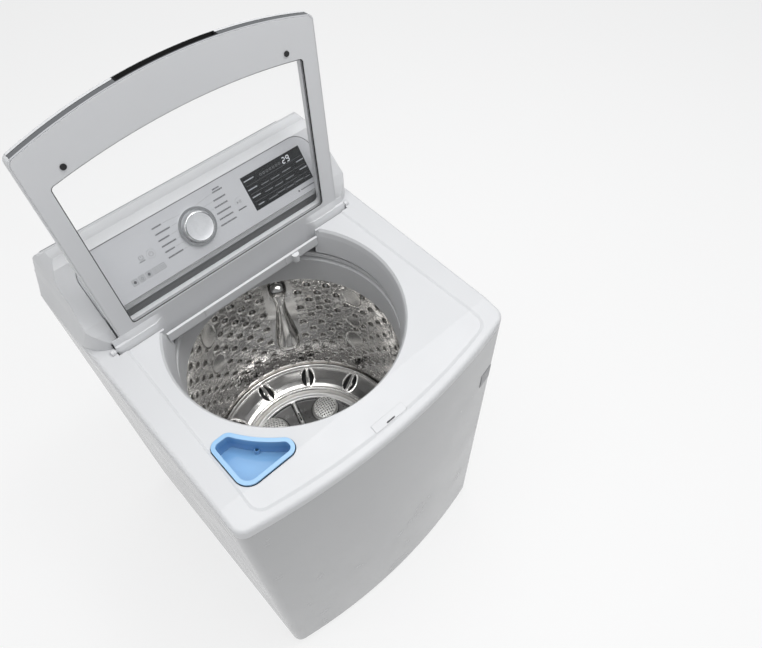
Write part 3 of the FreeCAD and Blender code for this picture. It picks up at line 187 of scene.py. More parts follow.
def moulded(name, color, rough=0.35, grain=0.12, size=900.0, coat=0.0, edge=0.0, ior=1.46):
    """Injection moulded plastic with a fine spark-eroded grain."""
    material = new_material(name, color, rough, ior=ior, coat=coat)
    place = object_coordinates(material)
    vary_color(material, noise(material, place, 6.0), shade(color, 0.99), shade(color, 1.01))
    vary_rough(material, noise(material, place, 22.0, 4.0), rough * 0.85, rough * 1.2)
    add_bump(material, noise(material, place, size, 2.0), grain, 0.0003, edge)
    return material


def metal(name, color, rough, stretch=(1, 1, 1), grain=0.08, size=60.0, streak=0.25, pure=1.0):
    """Metal with brush or polish marks drawn out along one direction."""
    material = new_material(name, color, rough, metal=pure)
    place = object_coordinates(material, stretch)
    lines = noise(material, place, size, 6.0, 0.7)
    vary_color(material, noise(material, object_coordinates(material), 14.0, 4.0),
               shade(color, 1 - streak * 0.5), shade(color, 1 + streak * 0.3))
    vary_rough(material, lines, rough * 0.65, rough * 1.5)
    add_bump(material, lines, grain, 0.00003)
    return material


def galvanised(name, color=(0.52, 0.54, 0.55)):
    """Zinc-coated sheet with the flaky spangle of its crystals."""
    material = new_material(name, color, 0.42, metal=0.85)
    place = object_coordinates(material)
    cells = node(material, "ShaderNodeTexVoronoi", Scale=70.0)
    link(material, place, cells.inputs["Vector"])
    vary_color(material, cells.outputs["Distance"], shade(color, 0.96), shade(color, 1.04))
    vary_rough(material, noise(material, place, 60.0), 0.32, 0.55)
    return material


def clear_glass(name):
    """Clear lid glass: thin, with a faint white haze as painted sheen over its own weak gloss, and a wiped look in
    its gloss.
    """
    # The white base colour at a little alpha paints a faint sheen over the glass.
    material = new_material(name, (0.85, 0.88, 0.9), 0.03, ior=1.45)
    set_sockets(shader_of(material), {"Alpha": 0.03})
    place = object_coordinates(material)
    vary_rough(material, noise(material, place, 12.0, 4.0), 0.015, 0.06)
    return material


def cup_blue():
    """Blue cup plastic with painted light by height: painted shade in its side walls, painted light on its floor
    and a painted highlight along its rim.
    """
    material = moulded("cup_blue", (0.17, 0.375, 0.62), 0.2, 0.02, coat=0.3, edge=0.0012)
    low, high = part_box("detergent_cup")
    place = node(material, "ShaderNodeTexCoord")
    split = node(material, "ShaderNodeSeparateXYZ")
    link(material, place.outputs["Object"], split.inputs["Vector"])
    share = share_between(material, split.outputs["Z"], low.z, high.z)
    # Painted light: the walls are darkest as painted shade, and the floor is pale and the rim palest as painted
    # highlight.
    stops = [(0.05, (0.2, 0.41, 0.66)), (0.2, (0.15, 0.34, 0.6)), (0.55, (0.09, 0.26, 0.52)),
             (0.9, (0.14, 0.34, 0.6)), (0.97, (0.3, 0.51, 0.75))]
    feed(material, ramp(material, share, stops), "Base Color")
    return material


def spun_silver():
    """Silver knob face with faint turning marks."""
    material = new_material("spun_silver", (0.72, 0.73, 0.75), 0.36, metal=0.4)
    place = object_coordinates(material)
    vary_color(material, noise(material, place, 90.0, 5.0), (0.68, 0.69, 0.71), (0.76, 0.77, 0.79))
    vary_rough(material, noise(material, place, 300.0, 4.0), 0.3, 0.44)
    return material


def glowing(name, color, strength):
    """Light-coloured print with a lamp behind it."""
    material = new_material(name, color, 0.5)
    set_sockets(shader_of(material), {"Emission Color": (*color, 1.0), "Emission Strength": strength})
    place = object_coordinates(material)
    vary_color(material, noise(material, place, 400.0), shade(color, 0.9), color)
    return material


def lid_edge(name, band_color, band_rough, band_metal, middle):
    """The lid's rim: a band of one finish up to the middle share, a dark joint, then the white shell; on the grip
    that band is near black as painted shade.
    """
    shell_rough = 0.4
    material = new_material(name, WHITE, shell_rough, ior=1.3)
    place = node(material, "ShaderNodeTexCoord")
    depth = node(material, "ShaderNodeVectorMath", operation="DOT_PRODUCT")
    depth.inputs[1].default_value = LID_OUT
    link(material, place.outputs["Object"], depth.inputs[0])
    share = share_between(material, depth.outputs["Value"], LID_DEPTH + RIM_NEAR, LID_DEPTH + RIM_FAR)
    stops = [(0.0, band_color), (middle, band_color), (middle + 0.02, JOINT_DARK),
             (middle + 0.07, JOINT_DARK), (middle + 0.09, WHITE)]
    feed(material, ramp(material, share, stops), "Base Color")
    for socket, inner, outer in (("Metallic", band_metal, 0.0), ("Roughness", band_rough, shell_rough)):
        feed(material, ramp(material, share, [(middle + 0.01, inner), (middle + 0.08, outer)]), socket)
    return material


WHITE = (0.6, 0.606, 0.618)
# The open lid leans back from upright, and its depth runs from the hinge line towards its top face.
LID_HINGE = joint("lid_hinge")["pos_m"]
LID_LEAN = math.radians(4)
LID_OUT = Vector((0, math.cos(LID_LEAN), -math.sin(LID_LEAN)))
LID_DEPTH = Vector(LID_HINGE).dot(LID_OUT)
RIM_NEAR, RIM_FAR = 0.002, 0.021
JOINT_DARK = (0.03, 0.03, 0.03)
MAKERS = {
    # The cabinet's enamel is darker than the other whites. This is painted shade, so that its front face reads as
    # shaded.
    "white_enamel": lambda: painted("enamel_white_painted_shade", shade(WHITE, 0.62), coat=0.12),
    "white_plastic": lambda: painted("moulded_white", WHITE, rough=0.42, coat=0.0, peel=0.03),
    "grey_plastic": lambda: moulded("plastic_grey", (0.42, 0.425, 0.435), 0.35, edge=0.0008),
    "lid_grey": lambda: moulded("lid_underside", (0.6, 0.606, 0.62), 0.38, grain=0.03, edge=0.0015),
    "panel_silver": lambda: metal("panel_silver", (0.58, 0.588, 0.61), 0.38, stretch=(40, 1, 1), grain=0.03,
                                  size=30.0, streak=0.06, pure=0.3),
    "galvanised": lambda: galvanised("zinc_sheet"),
    "stainless": lambda: metal("stainless", (0.76, 0.75, 0.735), 0.11, stretch=(1, 1, 12), grain=0.05,
                               size=40.0, streak=0.06),
    "polished_steel": lambda: metal("polished_steel", (0.8, 0.79, 0.775), 0.12, grain=0.03, size=70.0,
                                    streak=0.04),
    "chrome": lambda: metal("chrome", (0.78, 0.79, 0.8), 0.07, grain=0.0, size=20.0, streak=0.05),
    "clear_glass": lambda: clear_glass("lid_glass_clear"),
    "display_black": lambda: moulded("display_black", (0.004, 0.004, 0.005), 0.22, grain=0.0, ior=1.25),
    "lid_rim": lambda: lid_edge("lid_rim", (0.66, 0.67, 0.69), 0.2, 1.0, 0.6),
    # The grip's near-black band is painted shade of the handle pocket.
    "lid_grip_painted_shade": lambda: lid_edge("lid_grip_painted_shade", (0.004, 0.004, 0.005), 0.5, 0.0, 0.88),
    "lamp_mid": lambda: glowing("lamp_mid", (0.45, 0.47, 0.5), 0.1),
    "ring_grey": lambda: moulded("ring_grey", (0.66, 0.665, 0.675), 0.4, grain=0.05, edge=0.0008),
    "badge_grey": lambda: metal("badge_grey", (0.3, 0.3, 0.31), 0.4, grain=0.03, size=80.0, streak=0.1,
                                pure=0.5),
    "board_green": lambda: moulded("board_green", (0.02, 0.14, 0.06), 0.45),
    "rubber_black": lambda: moulded("rubber_black", (0.015, 0.015, 0.016), 0.6, grain=0.2),
    "cup_blue": cup_blue,
    "tub_plastic": lambda: moulded("tub_plastic", (0.55, 0.56, 0.57), 0.45),
    "pulsator_plastic": lambda: metal("plate_silver", (0.84, 0.835, 0.82), 0.38, grain=0.03, size=80.0,
                                      streak=0.04, pure=0.75),
    "bearing_steel": lambda: metal("ground_steel", (0.45, 0.45, 0.46), 0.25, stretch=(1, 1, 30)),
    "cast_alloy": lambda: moulded("cast_alloy", (0.4, 0.41, 0.42), 0.5, grain=0.4, size=300.0),
    "copper_stack": lambda: moulded("stator_copper", (0.3, 0.12, 0.05), 0.4, grain=0.3, size=200.0),
    "spring_steel": lambda: metal("spring_steel", (0.3, 0.3, 0.32), 0.35, stretch=(1, 1, 8)),
    # Near black: a dark joint on the panel seam, and painted shade in the base ring's slot pockets and the wash
    # plate's pin-holes and slots.
    "dark_joint_and_painted_hole_shade": lambda: moulded("dark_joint_and_painted_hole_shade", (0.012, 0.012, 0.013), 0.6, grain=0.1),
    "recess_grey": lambda: metal("recess_grey", (0.16, 0.16, 0.16), 0.3, grain=0.05, size=60.0, streak=0.1),
    "print_grey": lambda: moulded("print_grey", (0.1, 0.1, 0.11), 0.5, grain=0.02),
    "print_pale": lambda: moulded("print_pale", (0.3, 0.3, 0.31), 0.5, grain=0.02),
    "lamp_white": lambda: glowing("lamp_white", (0.85, 0.88, 0.92), 0.35),
    "lamp_soft": lambda: glowing("lamp_soft", (0.2, 0.21, 0.22), 0.03),
    "spun_silver": spun_silver,
}
MADE = {}


def material_for(slot_name):
    """The material of that name, made the first time it is asked for."""
    if slot_name not in MADE:
        MADE[slot_name] = MAKERS[slot_name]()
    return MADE[slot_name]


SLOT_OF = {entry["node"]: entry["material_slot"] for entry in frame["record"]["subparts"]}
FINISH_OF = {"balance_ring": "ring_grey", "tub_cover": "ring_grey", "hinge_pins": "white_plastic",
             "front_badge": "badge_grey", "lid_chrome_trim": "lid_rim", "lid_handle_insert": "lid_grip_painted_shade",
             "water_inlet_bar": "ring_grey"}
for node_name, cad_object in NODES.items():
    for slot in cad_object.material_slots:
        slot.material = material_for(FINISH_OF.get(node_name, SLOT_OF[node_name]))


# ---- mesh helpers ----

def build(name, points, faces, finishes, marks=None, body="cabinet", sharp=None):
    """A mesh object from arrays of points and faces; marks picks each face's finish."""
    points = np.asarray(points, float)
    used = np.unique(np.concatenate([np.asarray(block).ravel() for block in faces]))
    remap = np.full(len(points), -1)
    remap[used] = np.arange(len(used))
    loops = np.concatenate([remap[np.asarray(block)].ravel() for block in faces])
    sizes = np.concatenate([np.full(len(block), np.asarray(block).shape[1]) for block in faces])
    mesh = bpy.data.meshes.new(name)
    mesh.vertices.add(len(used))
    mesh.vertices.foreach_set("co", points[used].astype(np.float32).ravel())
    mesh.loops.add(len(loops))
    mesh.loops.foreach_set("vertex_index", loops.astype(np.int32))
    mesh.polygons.add(len(sizes))
    starts = np.concatenate([[0], np.cumsum(sizes)[:-1]])
    mesh.polygons.foreach_set("loop_start", starts.astype(np.int32))
    for finish in finishes:
        mesh.materials.append(material_for(finish))
    if marks is not None:
        mesh.polygons.foreach_set("material_index", np.asarray(marks, np.int32))
    mesh.update(calc_edges=True)
    mesh.validate()
    mesh.polygons.foreach_set("use_smooth", np.ones(len(mesh.polygons), bool))
    if sharp is not None:
        mesh.set_sharp_from_angle(angle=math.radians(sharp))
    made = add_object(name, mesh)
    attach(made, body)
    return made


def grid_quads(rows, columns, wrap=True):
    """Quads of a rows x columns grid of points, row by row."""
    row = np.arange(rows - 1)[:, None]
    column = np.arange(columns if wrap else columns - 1)[None, :]
    after = (column + 1) % columns
    corners = [row * columns + column, row * columns + after,
               (row + 1) * columns + after, (row + 1) * columns + column]
    return np.stack(np.broadcast_arrays(*corners), axis=-1).reshape(-1, 4)


def smooth(value):
    """An eased step from 0 to 1."""
    value = np.clip(value, 0.0, 1.0)
    return value * value * (3 - 2 * value)


def round_of(name):
    """Centre, outer radius and heights of a round CAD node that stands upright."""
    low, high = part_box(name)
    centre = np.array([(low.x + high.x) / 2, (low.y + high.y) / 2])
    return centre, (high.x - low.x) / 2, low.z, high.z


def around(centre, radius, angle, height):
    """Points at polar places about an upright axis."""
    radius, angle, height = np.broadcast_arrays(radius, angle, height)
    places = [centre[0] + radius * np.cos(angle), centre[1] + radius * np.sin(angle), height]
    return np.stack(places, axis=-1)


def angle_gap(angle, other):
    """Signed angle from one direction to another, the short way round."""
    return (angle - other + math.pi) % (2 * math.pi) - math.pi


def along(places, profile):
    """Values at the given places along a profile of (place, value) points."""
    spots, values = zip(*profile)
    return np.interp(places, spots, values)


# ---- basket ----

FILTERS = [math.radians(turn) for turn in (63, 183, 303)]
# The drum wall is a grid of columns round it and rows up it, in one sector for each lint filter.
DRUM_CENTRE, DRUM_OUTER, DRUM_LOW, DRUM_HIGH = round_of("basket_drum")
DRUM_INNER = DRUM_OUTER - 0.0014
COLUMNS, ROWS = 594, 164
PITCH = 2 * math.pi * DRUM_INNER / COLUMNS
STEP = (DRUM_HIGH - DRUM_LOW) / (ROWS - 1)
SECTOR = COLUMNS // len(FILTERS)
FIRST_COLUMN = int(round(FILTERS[0] / (2 * math.pi) * COLUMNS))
# Dimples stand at the corners and in the middle of cells of this many columns and rows.
CELL_WIDE, CELL_TALL = 18, 22
HALF_WIDE, HALF_TALL = CELL_WIDE // 2, CELL_TALL // 2
HOLES_BY_DIMPLE = ((-6, 0), (6, 0), (-3, 5), (3, 5), (-3, -5), (3, -5))
# Plain oval patches by each filter: degrees from it, height, half width and half height.
PATCHES = ((-42, 0.697, 0.029, 0.034), (-42, 0.593, 0.022, 0.024), (-42, 0.506, 0.028, 0.036),
           (45, 0.69, 0.026, 0.05), (45, 0.56, 0.027, 0.038))


def drum_relief(angle, height):
    """How far each grid point is pressed inward, and how much of the pattern it carries, 0 to 1."""
    column = np.arange(COLUMNS)[None, :]
    row = np.arange(ROWS)[:, None]

    def away(column_shift, row_shift):
        across = ((column - FIRST_COLUMN + column_shift + HALF_WIDE) % CELL_WIDE - HALF_WIDE) * PITCH
        upward = ((row + row_shift + HALF_TALL) % CELL_TALL - HALF_TALL) * STEP
        return np.hypot(across, upward)

    dimple_deep, dimple_reach = 0.0062, 0.0108
    reach = np.minimum(away(0, 0), away(HALF_WIDE, HALF_TALL))
    dimple = dimple_deep * np.clip(1 - (reach / dimple_reach) ** 2, 0, 1) ** 1.1
    plain_foot, plain_head, blend = 0.05, 0.012, 0.008
    edge_fade = (smooth((height - DRUM_LOW - plain_foot) / blend)
                 * smooth((DRUM_HIGH - plain_head - height) / blend))
    plain = np.zeros((ROWS, COLUMNS))
    press = np.zeros((ROWS, COLUMNS))
    patch_deep, patch_lip = 0.003, 0.0014
    for filter_turn, (lead, middle, half_wide, half_tall) in itertools.product(FILTERS, PATCHES):
        gap = angle_gap(angle, filter_turn + math.radians(lead))
        spread = np.hypot(gap * DRUM_INNER / half_wide, (height - middle) / half_tall)
        plain = np.maximum(plain, smooth((1.22 - spread) / 0.12))
        dent = (patch_deep * smooth((1.0 - spread) / 0.3)
                - patch_lip * np.exp(-((spread - 1.1) / 0.09) ** 2))
        press = np.where(spread < 1.5, np.maximum(press, dent), press)
    filter_half, filter_foot = 0.04, 0.43
    for turn in FILTERS:
        spread = np.abs(angle_gap(angle, turn)) * DRUM_INNER / filter_half
        plain = np.maximum(plain, smooth((1.05 - spread) / 0.1) * smooth((height - filter_foot) / 0.02))
    return dimple * edge_fade * (1 - plain) - press, edge_fade * (1 - plain)


def drum_holes(pattern):
    """Places and radii of the holes by the dimples and in slanting lines, and the quads they open."""
    taken = np.zeros((ROWS, COLUMNS), bool)
    spots, sizes = [], []
    rim_rows, joint_columns = 4, 2

    def from_joint(side):
        """Columns from the nearest joint between sectors, with side counted from one of them."""
        return abs((side + SECTOR // 2) % SECTOR - SECTOR // 2)

    def punch(up, side, size):
        """Adds a hole where it is clear of the rims, the plain parts, the joints and other holes."""
        side %= COLUMNS
        if not rim_rows <= up < ROWS - rim_rows or pattern[up, side] < 0.9:
            return
        if from_joint(side - FIRST_COLUMN) < joint_columns:
            return
        block = [(up + rise, (side + shift) % COLUMNS) for rise in (-1, 0) for shift in (-1, 0)]
        if any(taken[cell] for cell in block):
            return
        for cell in block:
            taken[cell] = True
        spots.append((up, side))
        sizes.append(size)

    drain_hole, pin_hole = 0.00142, 0.00105
    for across in range(COLUMNS // HALF_WIDE):
        middle = FIRST_COLUMN + HALF_WIDE * across
        for base in range(HALF_TALL if across % 2 else 0, ROWS + HALF_TALL, CELL_TALL):
            for side, rise in HOLES_BY_DIMPLE:
                punch(base + rise, middle + side, drain_hole)
    slant = 1.22
    for side in range(0, COLUMNS, 2):
        for line in range(-12, 12):
            up = int(round(slant * from_joint(side) + HALF_TALL + CELL_TALL * line))
            punch(up, FIRST_COLUMN + side, pin_hole)
    return np.array(spots), np.array(sizes)[:, None], taken[:-1]


def drum_wall():
    """Perforated steel wall with a lattice of inward dimples, drain holes and plain oval patches."""
    hole_sink, sheet = 0.0003, 0.0009
    column = np.arange(COLUMNS)[None, :]
    angle = column * 2 * math.pi / COLUMNS
    height = DRUM_LOW + np.arange(ROWS)[:, None] * STEP
    inward, pattern = drum_relief(angle, height)
    spots, sizes, open_cell = drum_holes(pattern)

    # Each hole opens four quads: a ring of eight points lies in them, joined to the grid points round it.
    kept = grid_quads(ROWS, COLUMNS)[~open_cell.ravel()]
    ring_turns = np.arange(8) * math.pi / 4
    ring_angle = (spots[:, 1:2] * PITCH + sizes * np.cos(ring_turns)) / DRUM_INNER
    ring_height = DRUM_LOW + spots[:, 0:1] * STEP + sizes * np.sin(ring_turns)
    offsets = [(0, 1), (1, 1), (1, 0), (1, -1), (0, -1), (-1, -1), (-1, 0), (-1, 1)]
    border = np.stack([(spots[:, 0] + up) * COLUMNS + (spots[:, 1] + side) % COLUMNS
                       for up, side in offsets], axis=1)
    ring = ROWS * COLUMNS + np.arange(len(spots) * 8).reshape(-1, 8)
    after = np.roll(ring, -1, 1)
    funnels = np.stack([border, np.roll(border, -1, 1), after, ring], axis=-1).reshape(-1, 4)

    radius = DRUM_INNER - inward
    front = [around(DRUM_CENTRE, radius, angle, height),
             around(DRUM_CENTRE, DRUM_INNER + hole_sink, ring_angle, ring_height)]
    back = [around(DRUM_CENTRE, np.minimum(radius + sheet, DRUM_OUTER), angle, height),
            around(DRUM_CENTRE, DRUM_INNER + sheet, ring_angle, ring_height)]
    points = np.concatenate([block.reshape(-1, 3) for block in front + back])
    count = len(points) // 2
    bottom = np.stack([np.arange(COLUMNS), (np.arange(COLUMNS) + 1) % COLUMNS], axis=1)
    top = bottom + (ROWS - 1) * COLUMNS
    rims = np.concatenate([np.concatenate([bottom, bottom[:, ::-1] + count], axis=1),
                           np.concatenate([top[:, ::-1], top + count], axis=1)])
    bores = np.stack([after, ring, ring + count, after + count], axis=-1).reshape(-1, 4)
    kept_columns = np.broadcast_to(column, (ROWS - 1, COLUMNS))[~open_cell]
    hole_columns = np.repeat(spots[:, 1], 8)
    rim_columns = np.tile(np.arange(COLUMNS), 2)
    for sector in range(len(FILTERS)):
        start = FIRST_COLUMN + sector * SECTOR

        def inside(places):
            return (places - start) % COLUMNS < SECTOR

        joints = []
        for joint_column, flip in ((start % COLUMNS, False), ((start + SECTOR) % COLUMNS, True)):
            line = np.arange(ROWS) * COLUMNS + joint_column
            wall = np.stack([line[:-1], line[1:], line[1:] + count, line[:-1] + count], axis=1)
            joints.append(wall if flip else wall[:, ::-1])
        shell = np.concatenate([kept[inside(kept_columns)], funnels[inside(hole_columns)]])
        faces = [shell[:, ::-1], shell + count, rims[inside(rim_columns)], bores[inside(hole_columns)],
                 *joints]
        part = build(f"drum_wall_{sector + 1}", points, faces, ["stainless"], body="basket",
                     sharp=78)
        if sector == 0:
            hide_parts("basket_drum")


def polar_plate(name, centre, radii, columns, top, under, body, finishes, marks):
    """A closed plate whose top is a function of radius and angle over a smooth underside."""
    angle = np.arange(columns)[None, :] * 2 * math.pi / columns
    radius = np.asarray(radii)[:, None]
    crown = around(centre, radius, angle, top(radius, angle)).reshape(-1, 3)
    rows, floor_rows = len(radii), 6
    floor_radii = np.linspace(radii[0], radii[-1], floor_rows)[:, None]
    base = around(centre, floor_radii, angle, under(floor_radii) + 0 * angle).reshape(-1, 3)
    first = len(crown)
    top_quads = grid_quads(rows, columns)
    low_quads = grid_quads(floor_rows, columns) + first
    loop = np.arange(columns)
    after = (loop + 1) % columns
    inner_wall = np.stack([loop, after, first + after, first + loop], axis=1)
    edge = (rows - 1) * columns
    edge_low = first + (floor_rows - 1) * columns
    outer_wall = np.stack([edge + after, edge + loop, edge_low + loop, edge_low + after], axis=1)
    middle_radius = (radius[1:] + radius[:-1]) / 2
    middle_angle = angle + math.pi / columns
    picks = marks(middle_radius, middle_angle).reshape(-1)
    picks = np.concatenate([picks, np.zeros(len(low_quads) + 2 * columns)])
    faces = [top_quads[:, ::-1], low_quads, inner_wall, outer_wall]
    return build(name, np.concatenate([crown, base]), faces, finishes, picks, body=body)


def nearest_turn(angle, start, count):
    """Angle from the nearest of evenly spaced spokes."""
    share = 2 * math.pi / count
    return (angle - start + share / 2) % share - share / 2


BASE_SLOTS = 11
BASE_START = math.radians(22.6)


def base_ring():
    """Polished ring round the wash plate: fine rims, a rolled channel, and oval slot pockets with a bar, painted
    dark inside as painted shade of holes.
    """
    centre, outer, low, _ = round_of("basket_base")
    rise = [(0.07, 0.004), (0.1885, 0.004), (0.1895, 0.025), (0.1912, 0.033), (0.1932, 0.0352),
            (0.1952, 0.0322), (0.1974, 0.035), (0.1994, 0.0318), (0.203, 0.0312), (0.212, 0.0345),
            (0.225, 0.0385), (0.24, 0.0425), (0.253, 0.046), (0.259, 0.0475), (0.2612, 0.053),
            (0.2645, 0.0555), (0.268, 0.0542), (0.2705, 0.05), (0.2719, 0.047)]
    slot_middle, slot_half_wide, slot_half_long = 0.2315, 0.018, 0.0275

    def oval(radius, angle):
        """Share of the way from the nearest slot's middle to its edge, and the distance from its bar."""
        across = nearest_turn(angle, BASE_START, BASE_SLOTS) * radius
        return np.hypot(across / slot_half_wide, (radius - slot_middle) / slot_half_long), np.abs(across)

    def top(radius, angle):
        level = along(radius, rise)
        spread, across = oval(radius, angle)
        dip = 0.015 * smooth((1.0 - spread) / 0.1)
        lip = 0.001 * np.exp(-((spread - 1.08) / 0.06) ** 2)
        bar = smooth((0.0064 - across) / 0.0014)
        return low + level - dip * (1 - bar) + lip + 0.0006 * bar * smooth((1.0 - spread) / 0.2)

    def under(radius):
        return low + along(radius, [(0.07, 0), (outer - 0.0142, 0), (outer - 0.0003, 0.014)])

    # The slot pockets are painted near black: painted shade that makes them read as holes.
    def marks(radius, angle):
        spread, across = oval(radius, angle)
        return ((spread < 0.95) & (across > 0.0058)).astype(float)

    radii = np.concatenate([np.linspace(0.07, 0.1895, 8), np.linspace(0.1905, outer - 0.0003, 84)])
    ring = polar_plate("base_ring", centre, radii, 960, top, under, "basket",
                       ["polished_steel", "dark_joint_and_painted_hole_shade"], marks)
    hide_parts("basket_base")


PETALS = 5
PETAL_START = math.radians(36.7)


def wash_plate():
    """Wash plate: domed petals with pin-hole dips and slotted ribs between them, in a rolled rim; the pin-holes
    and slots are painted dark as painted shade.
    """
    centre, outer, low, high = round_of("pulsator")
    hub = 0.0245
    rise = [(hub, 0.044), (0.04, 0.0435), (0.047, 0.0395), (0.06, 0.029), (0.085, 0.0205),
            (0.13, 0.014), (0.168, 0.011), (0.1745, 0.0125), (0.1785, 0.017), (0.1825, 0.0175),
            (0.185, 0.015), (0.186, 0.012)]

    def petal(radius, angle):
        """Share of the way from the nearest petal's middle to its edge, and its place in the petal."""
        across = nearest_turn(angle, PETAL_START, PETALS) * radius
        out = radius - 0.134
        wide = 0.037 + 0.12 * np.clip(out, -0.05, 0.05)
        return np.hypot(across / wide, out / 0.0415), across, out

    def rib(radius, angle):
        """Distance from the nearest rib's middle line, and the rib's half width there."""
        gap = np.abs(nearest_turn(angle, PETAL_START + math.pi / PETALS, PETALS) * radius)
        return gap, 0.0062 + 0.012 * np.clip(0.1 - radius, -0.02, 0.05)

    def pin_holes(across, out):
        """Distance from the nearest pin-hole of a staggered grid."""
        pitch = 0.0108
        one = np.hypot((across + pitch / 2) % pitch - pitch / 2, (out + pitch / 2) % pitch - pitch / 2)
        two = np.hypot(across % pitch - pitch / 2, out % pitch - pitch / 2)
        return np.minimum(one, two)

    def top(radius, angle):
        level = along(radius, rise)
        spread, across, out = petal(radius, angle)
        dome = 0.007 * smooth((1.0 - spread) / 0.12) + 0.0085 * np.clip(1 - spread ** 2, 0, 1)
        holes = 0.0026 * smooth((0.0024 - pin_holes(across, out)) / 0.0009) * (spread < 0.84)
        gap, wide = rib(radius, angle)
        inside = smooth((radius - 0.06) / 0.014) * smooth((0.17 - radius) / 0.008)
        ridge = (0.0115 * smooth((wide - gap) / 0.0028)) * inside
        slot = (0.005 * smooth((0.0021 - gap) / 0.0007) * smooth((radius - 0.092) / 0.002)
                * smooth((0.124 - radius) / 0.002))
        well = 0.0045 * smooth((radius - 0.062) / 0.02) * smooth((0.17 - radius) / 0.006)
        cover = np.maximum(smooth((1.12 - spread) / 0.12), smooth((wide + 0.002 - gap) / 0.002) * inside)
        return np.minimum(low + level + dome - holes + ridge - slot * inside - well * (1 - cover), high)

    def under(radius):
        return low + 0.0002 + 0.004 * (1 - radius / outer)

    def marks(radius, angle):
        spread, across, out = petal(radius, angle)
        gap, wide = rib(radius, angle)
        # Pin-holes and rib slots are painted near black: painted shade in place of open holes.
        painted_pin_shade = (pin_holes(across, out) < 0.002) & (spread < 0.84)
        painted_slot_shade = (gap < 0.0018) & (radius > 0.093) & (radius < 0.123)
        recess = (spread > 1.02) & (gap > wide) & (radius > 0.066) & (radius < 0.172)
        return np.where(painted_pin_shade | painted_slot_shade, 1, np.where(recess, 2, 0)).astype(float)

    plate = polar_plate("wash_plate", centre, np.linspace(hub, outer, 140), 660, top, under, "agitator",
                        ["pulsator_plastic", "dark_joint_and_painted_hole_shade", "recess_grey"], marks)
    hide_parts("pulsator")


def lint_columns():
    """Three tall lint filters: a round bright head on a narrow neck that flares to a wide foot."""
    low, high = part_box("lint_filters")
    wall = DRUM_OUTER - 0.003
    tall = high.z - low.z
    shares = np.linspace(0, 1, 90)
    half = along(shares, [(0, 0.02), (0.02, 0.028), (0.06, 0.0315), (0.14, 0.0335), (0.242, 0.032),
                          (0.42, 0.0225), (0.618, 0.0137), (0.75, 0.014), (0.82, 0.017), (0.86, 0.0212),
                          (0.902, 0.024), (0.945, 0.0222), (0.98, 0.014), (1.0, 0.002)])
    deep = along(shares, [(0, 0.004), (0.03, 0.012), (0.08, 0.018), (0.14, 0.0195), (0.242, 0.0185),
                          (0.5, 0.015), (0.618, 0.0135), (0.75, 0.0145), (0.83, 0.019), (0.902, 0.0225),
                          (0.95, 0.0205), (0.98, 0.012), (1.0, 0.002)])
    swing = np.linspace(0, math.pi, 40)
    back = np.linspace(1, -1, 8)[1:-1]
    loop = len(swing) + len(back)
    points, faces = [], []
    for turn in FILTERS:
        first = len(points)
        for share, wide, depth in zip(shares, half, deep):
            height = low.z + share * tall
            for step in swing:
                across = wide * math.copysign(abs(math.cos(step)) ** 0.8, math.cos(step))
                inward = depth * math.sin(step) ** 0.7
                points.append(around(DRUM_CENTRE, wall - inward, turn + across / wall, height))
            for step in back:
                points.append(around(DRUM_CENTRE, wall, turn - wide * step / wall, height))
        faces.append(grid_quads(len(shares), loop) + first)
        for row, flip in ((0, False), (len(shares) - 1, True)):
            ids = first + row * loop + np.arange(loop)
            middle = len(points)
            points.append(np.mean([points[index] for index in ids], axis=0))
            fan = np.stack([ids, np.roll(ids, -1), np.full(loop, middle)], axis=1)
            faces.append(fan if flip else fan[:, ::-1])
    column = build("lint_columns", np.array(points), faces, ["polished_steel"], body="basket",
                   sharp=60)
    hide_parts("lint_filters")


# ---- control panel ----

PANEL_NORMAL = np.array(joint("knob_turn")["axis"], float)
PANEL_UP = np.cross(PANEL_NORMAL, [1.0, 0, 0])
PANEL_UP = PANEL_UP if PANEL_UP[2] > 0 else -PANEL_UP
PANEL_POINTS = np.array([vertex.co for vertex in NODES["control_panel"].data.vertices])
PANEL_OUT = (PANEL_POINTS @ PANEL_NORMAL).max()
PANEL_LOW = (PANEL_POINTS @ PANEL_UP).min()


def on_panel(across, rise, out):
    """A point in the panel's own plane: millimetres across, up along it, and out from its face."""
    return (np.array([across / 1000, 0, 0]) + PANEL_UP * (PANEL_LOW + rise / 1000)
            + PANEL_NORMAL * (PANEL_OUT + out / 1000))


def panel_spot(name):
    """Across and up of a round CAD node's middle on the panel, in millimetres."""
    points = np.array([vertex.co for vertex in NODES[name].data.vertices])
    middle = (points.max(axis=0) + points.min(axis=0)) / 2
    return middle[0] * 1000, (middle @ PANEL_UP - PANEL_LOW) * 1000


def polar(middle, reach, turn):
    """A spot at a distance and angle from another, on a flat drawing."""
    return middle[0] + reach * math.cos(turn), middle[1] + reach * math.sin(turn)


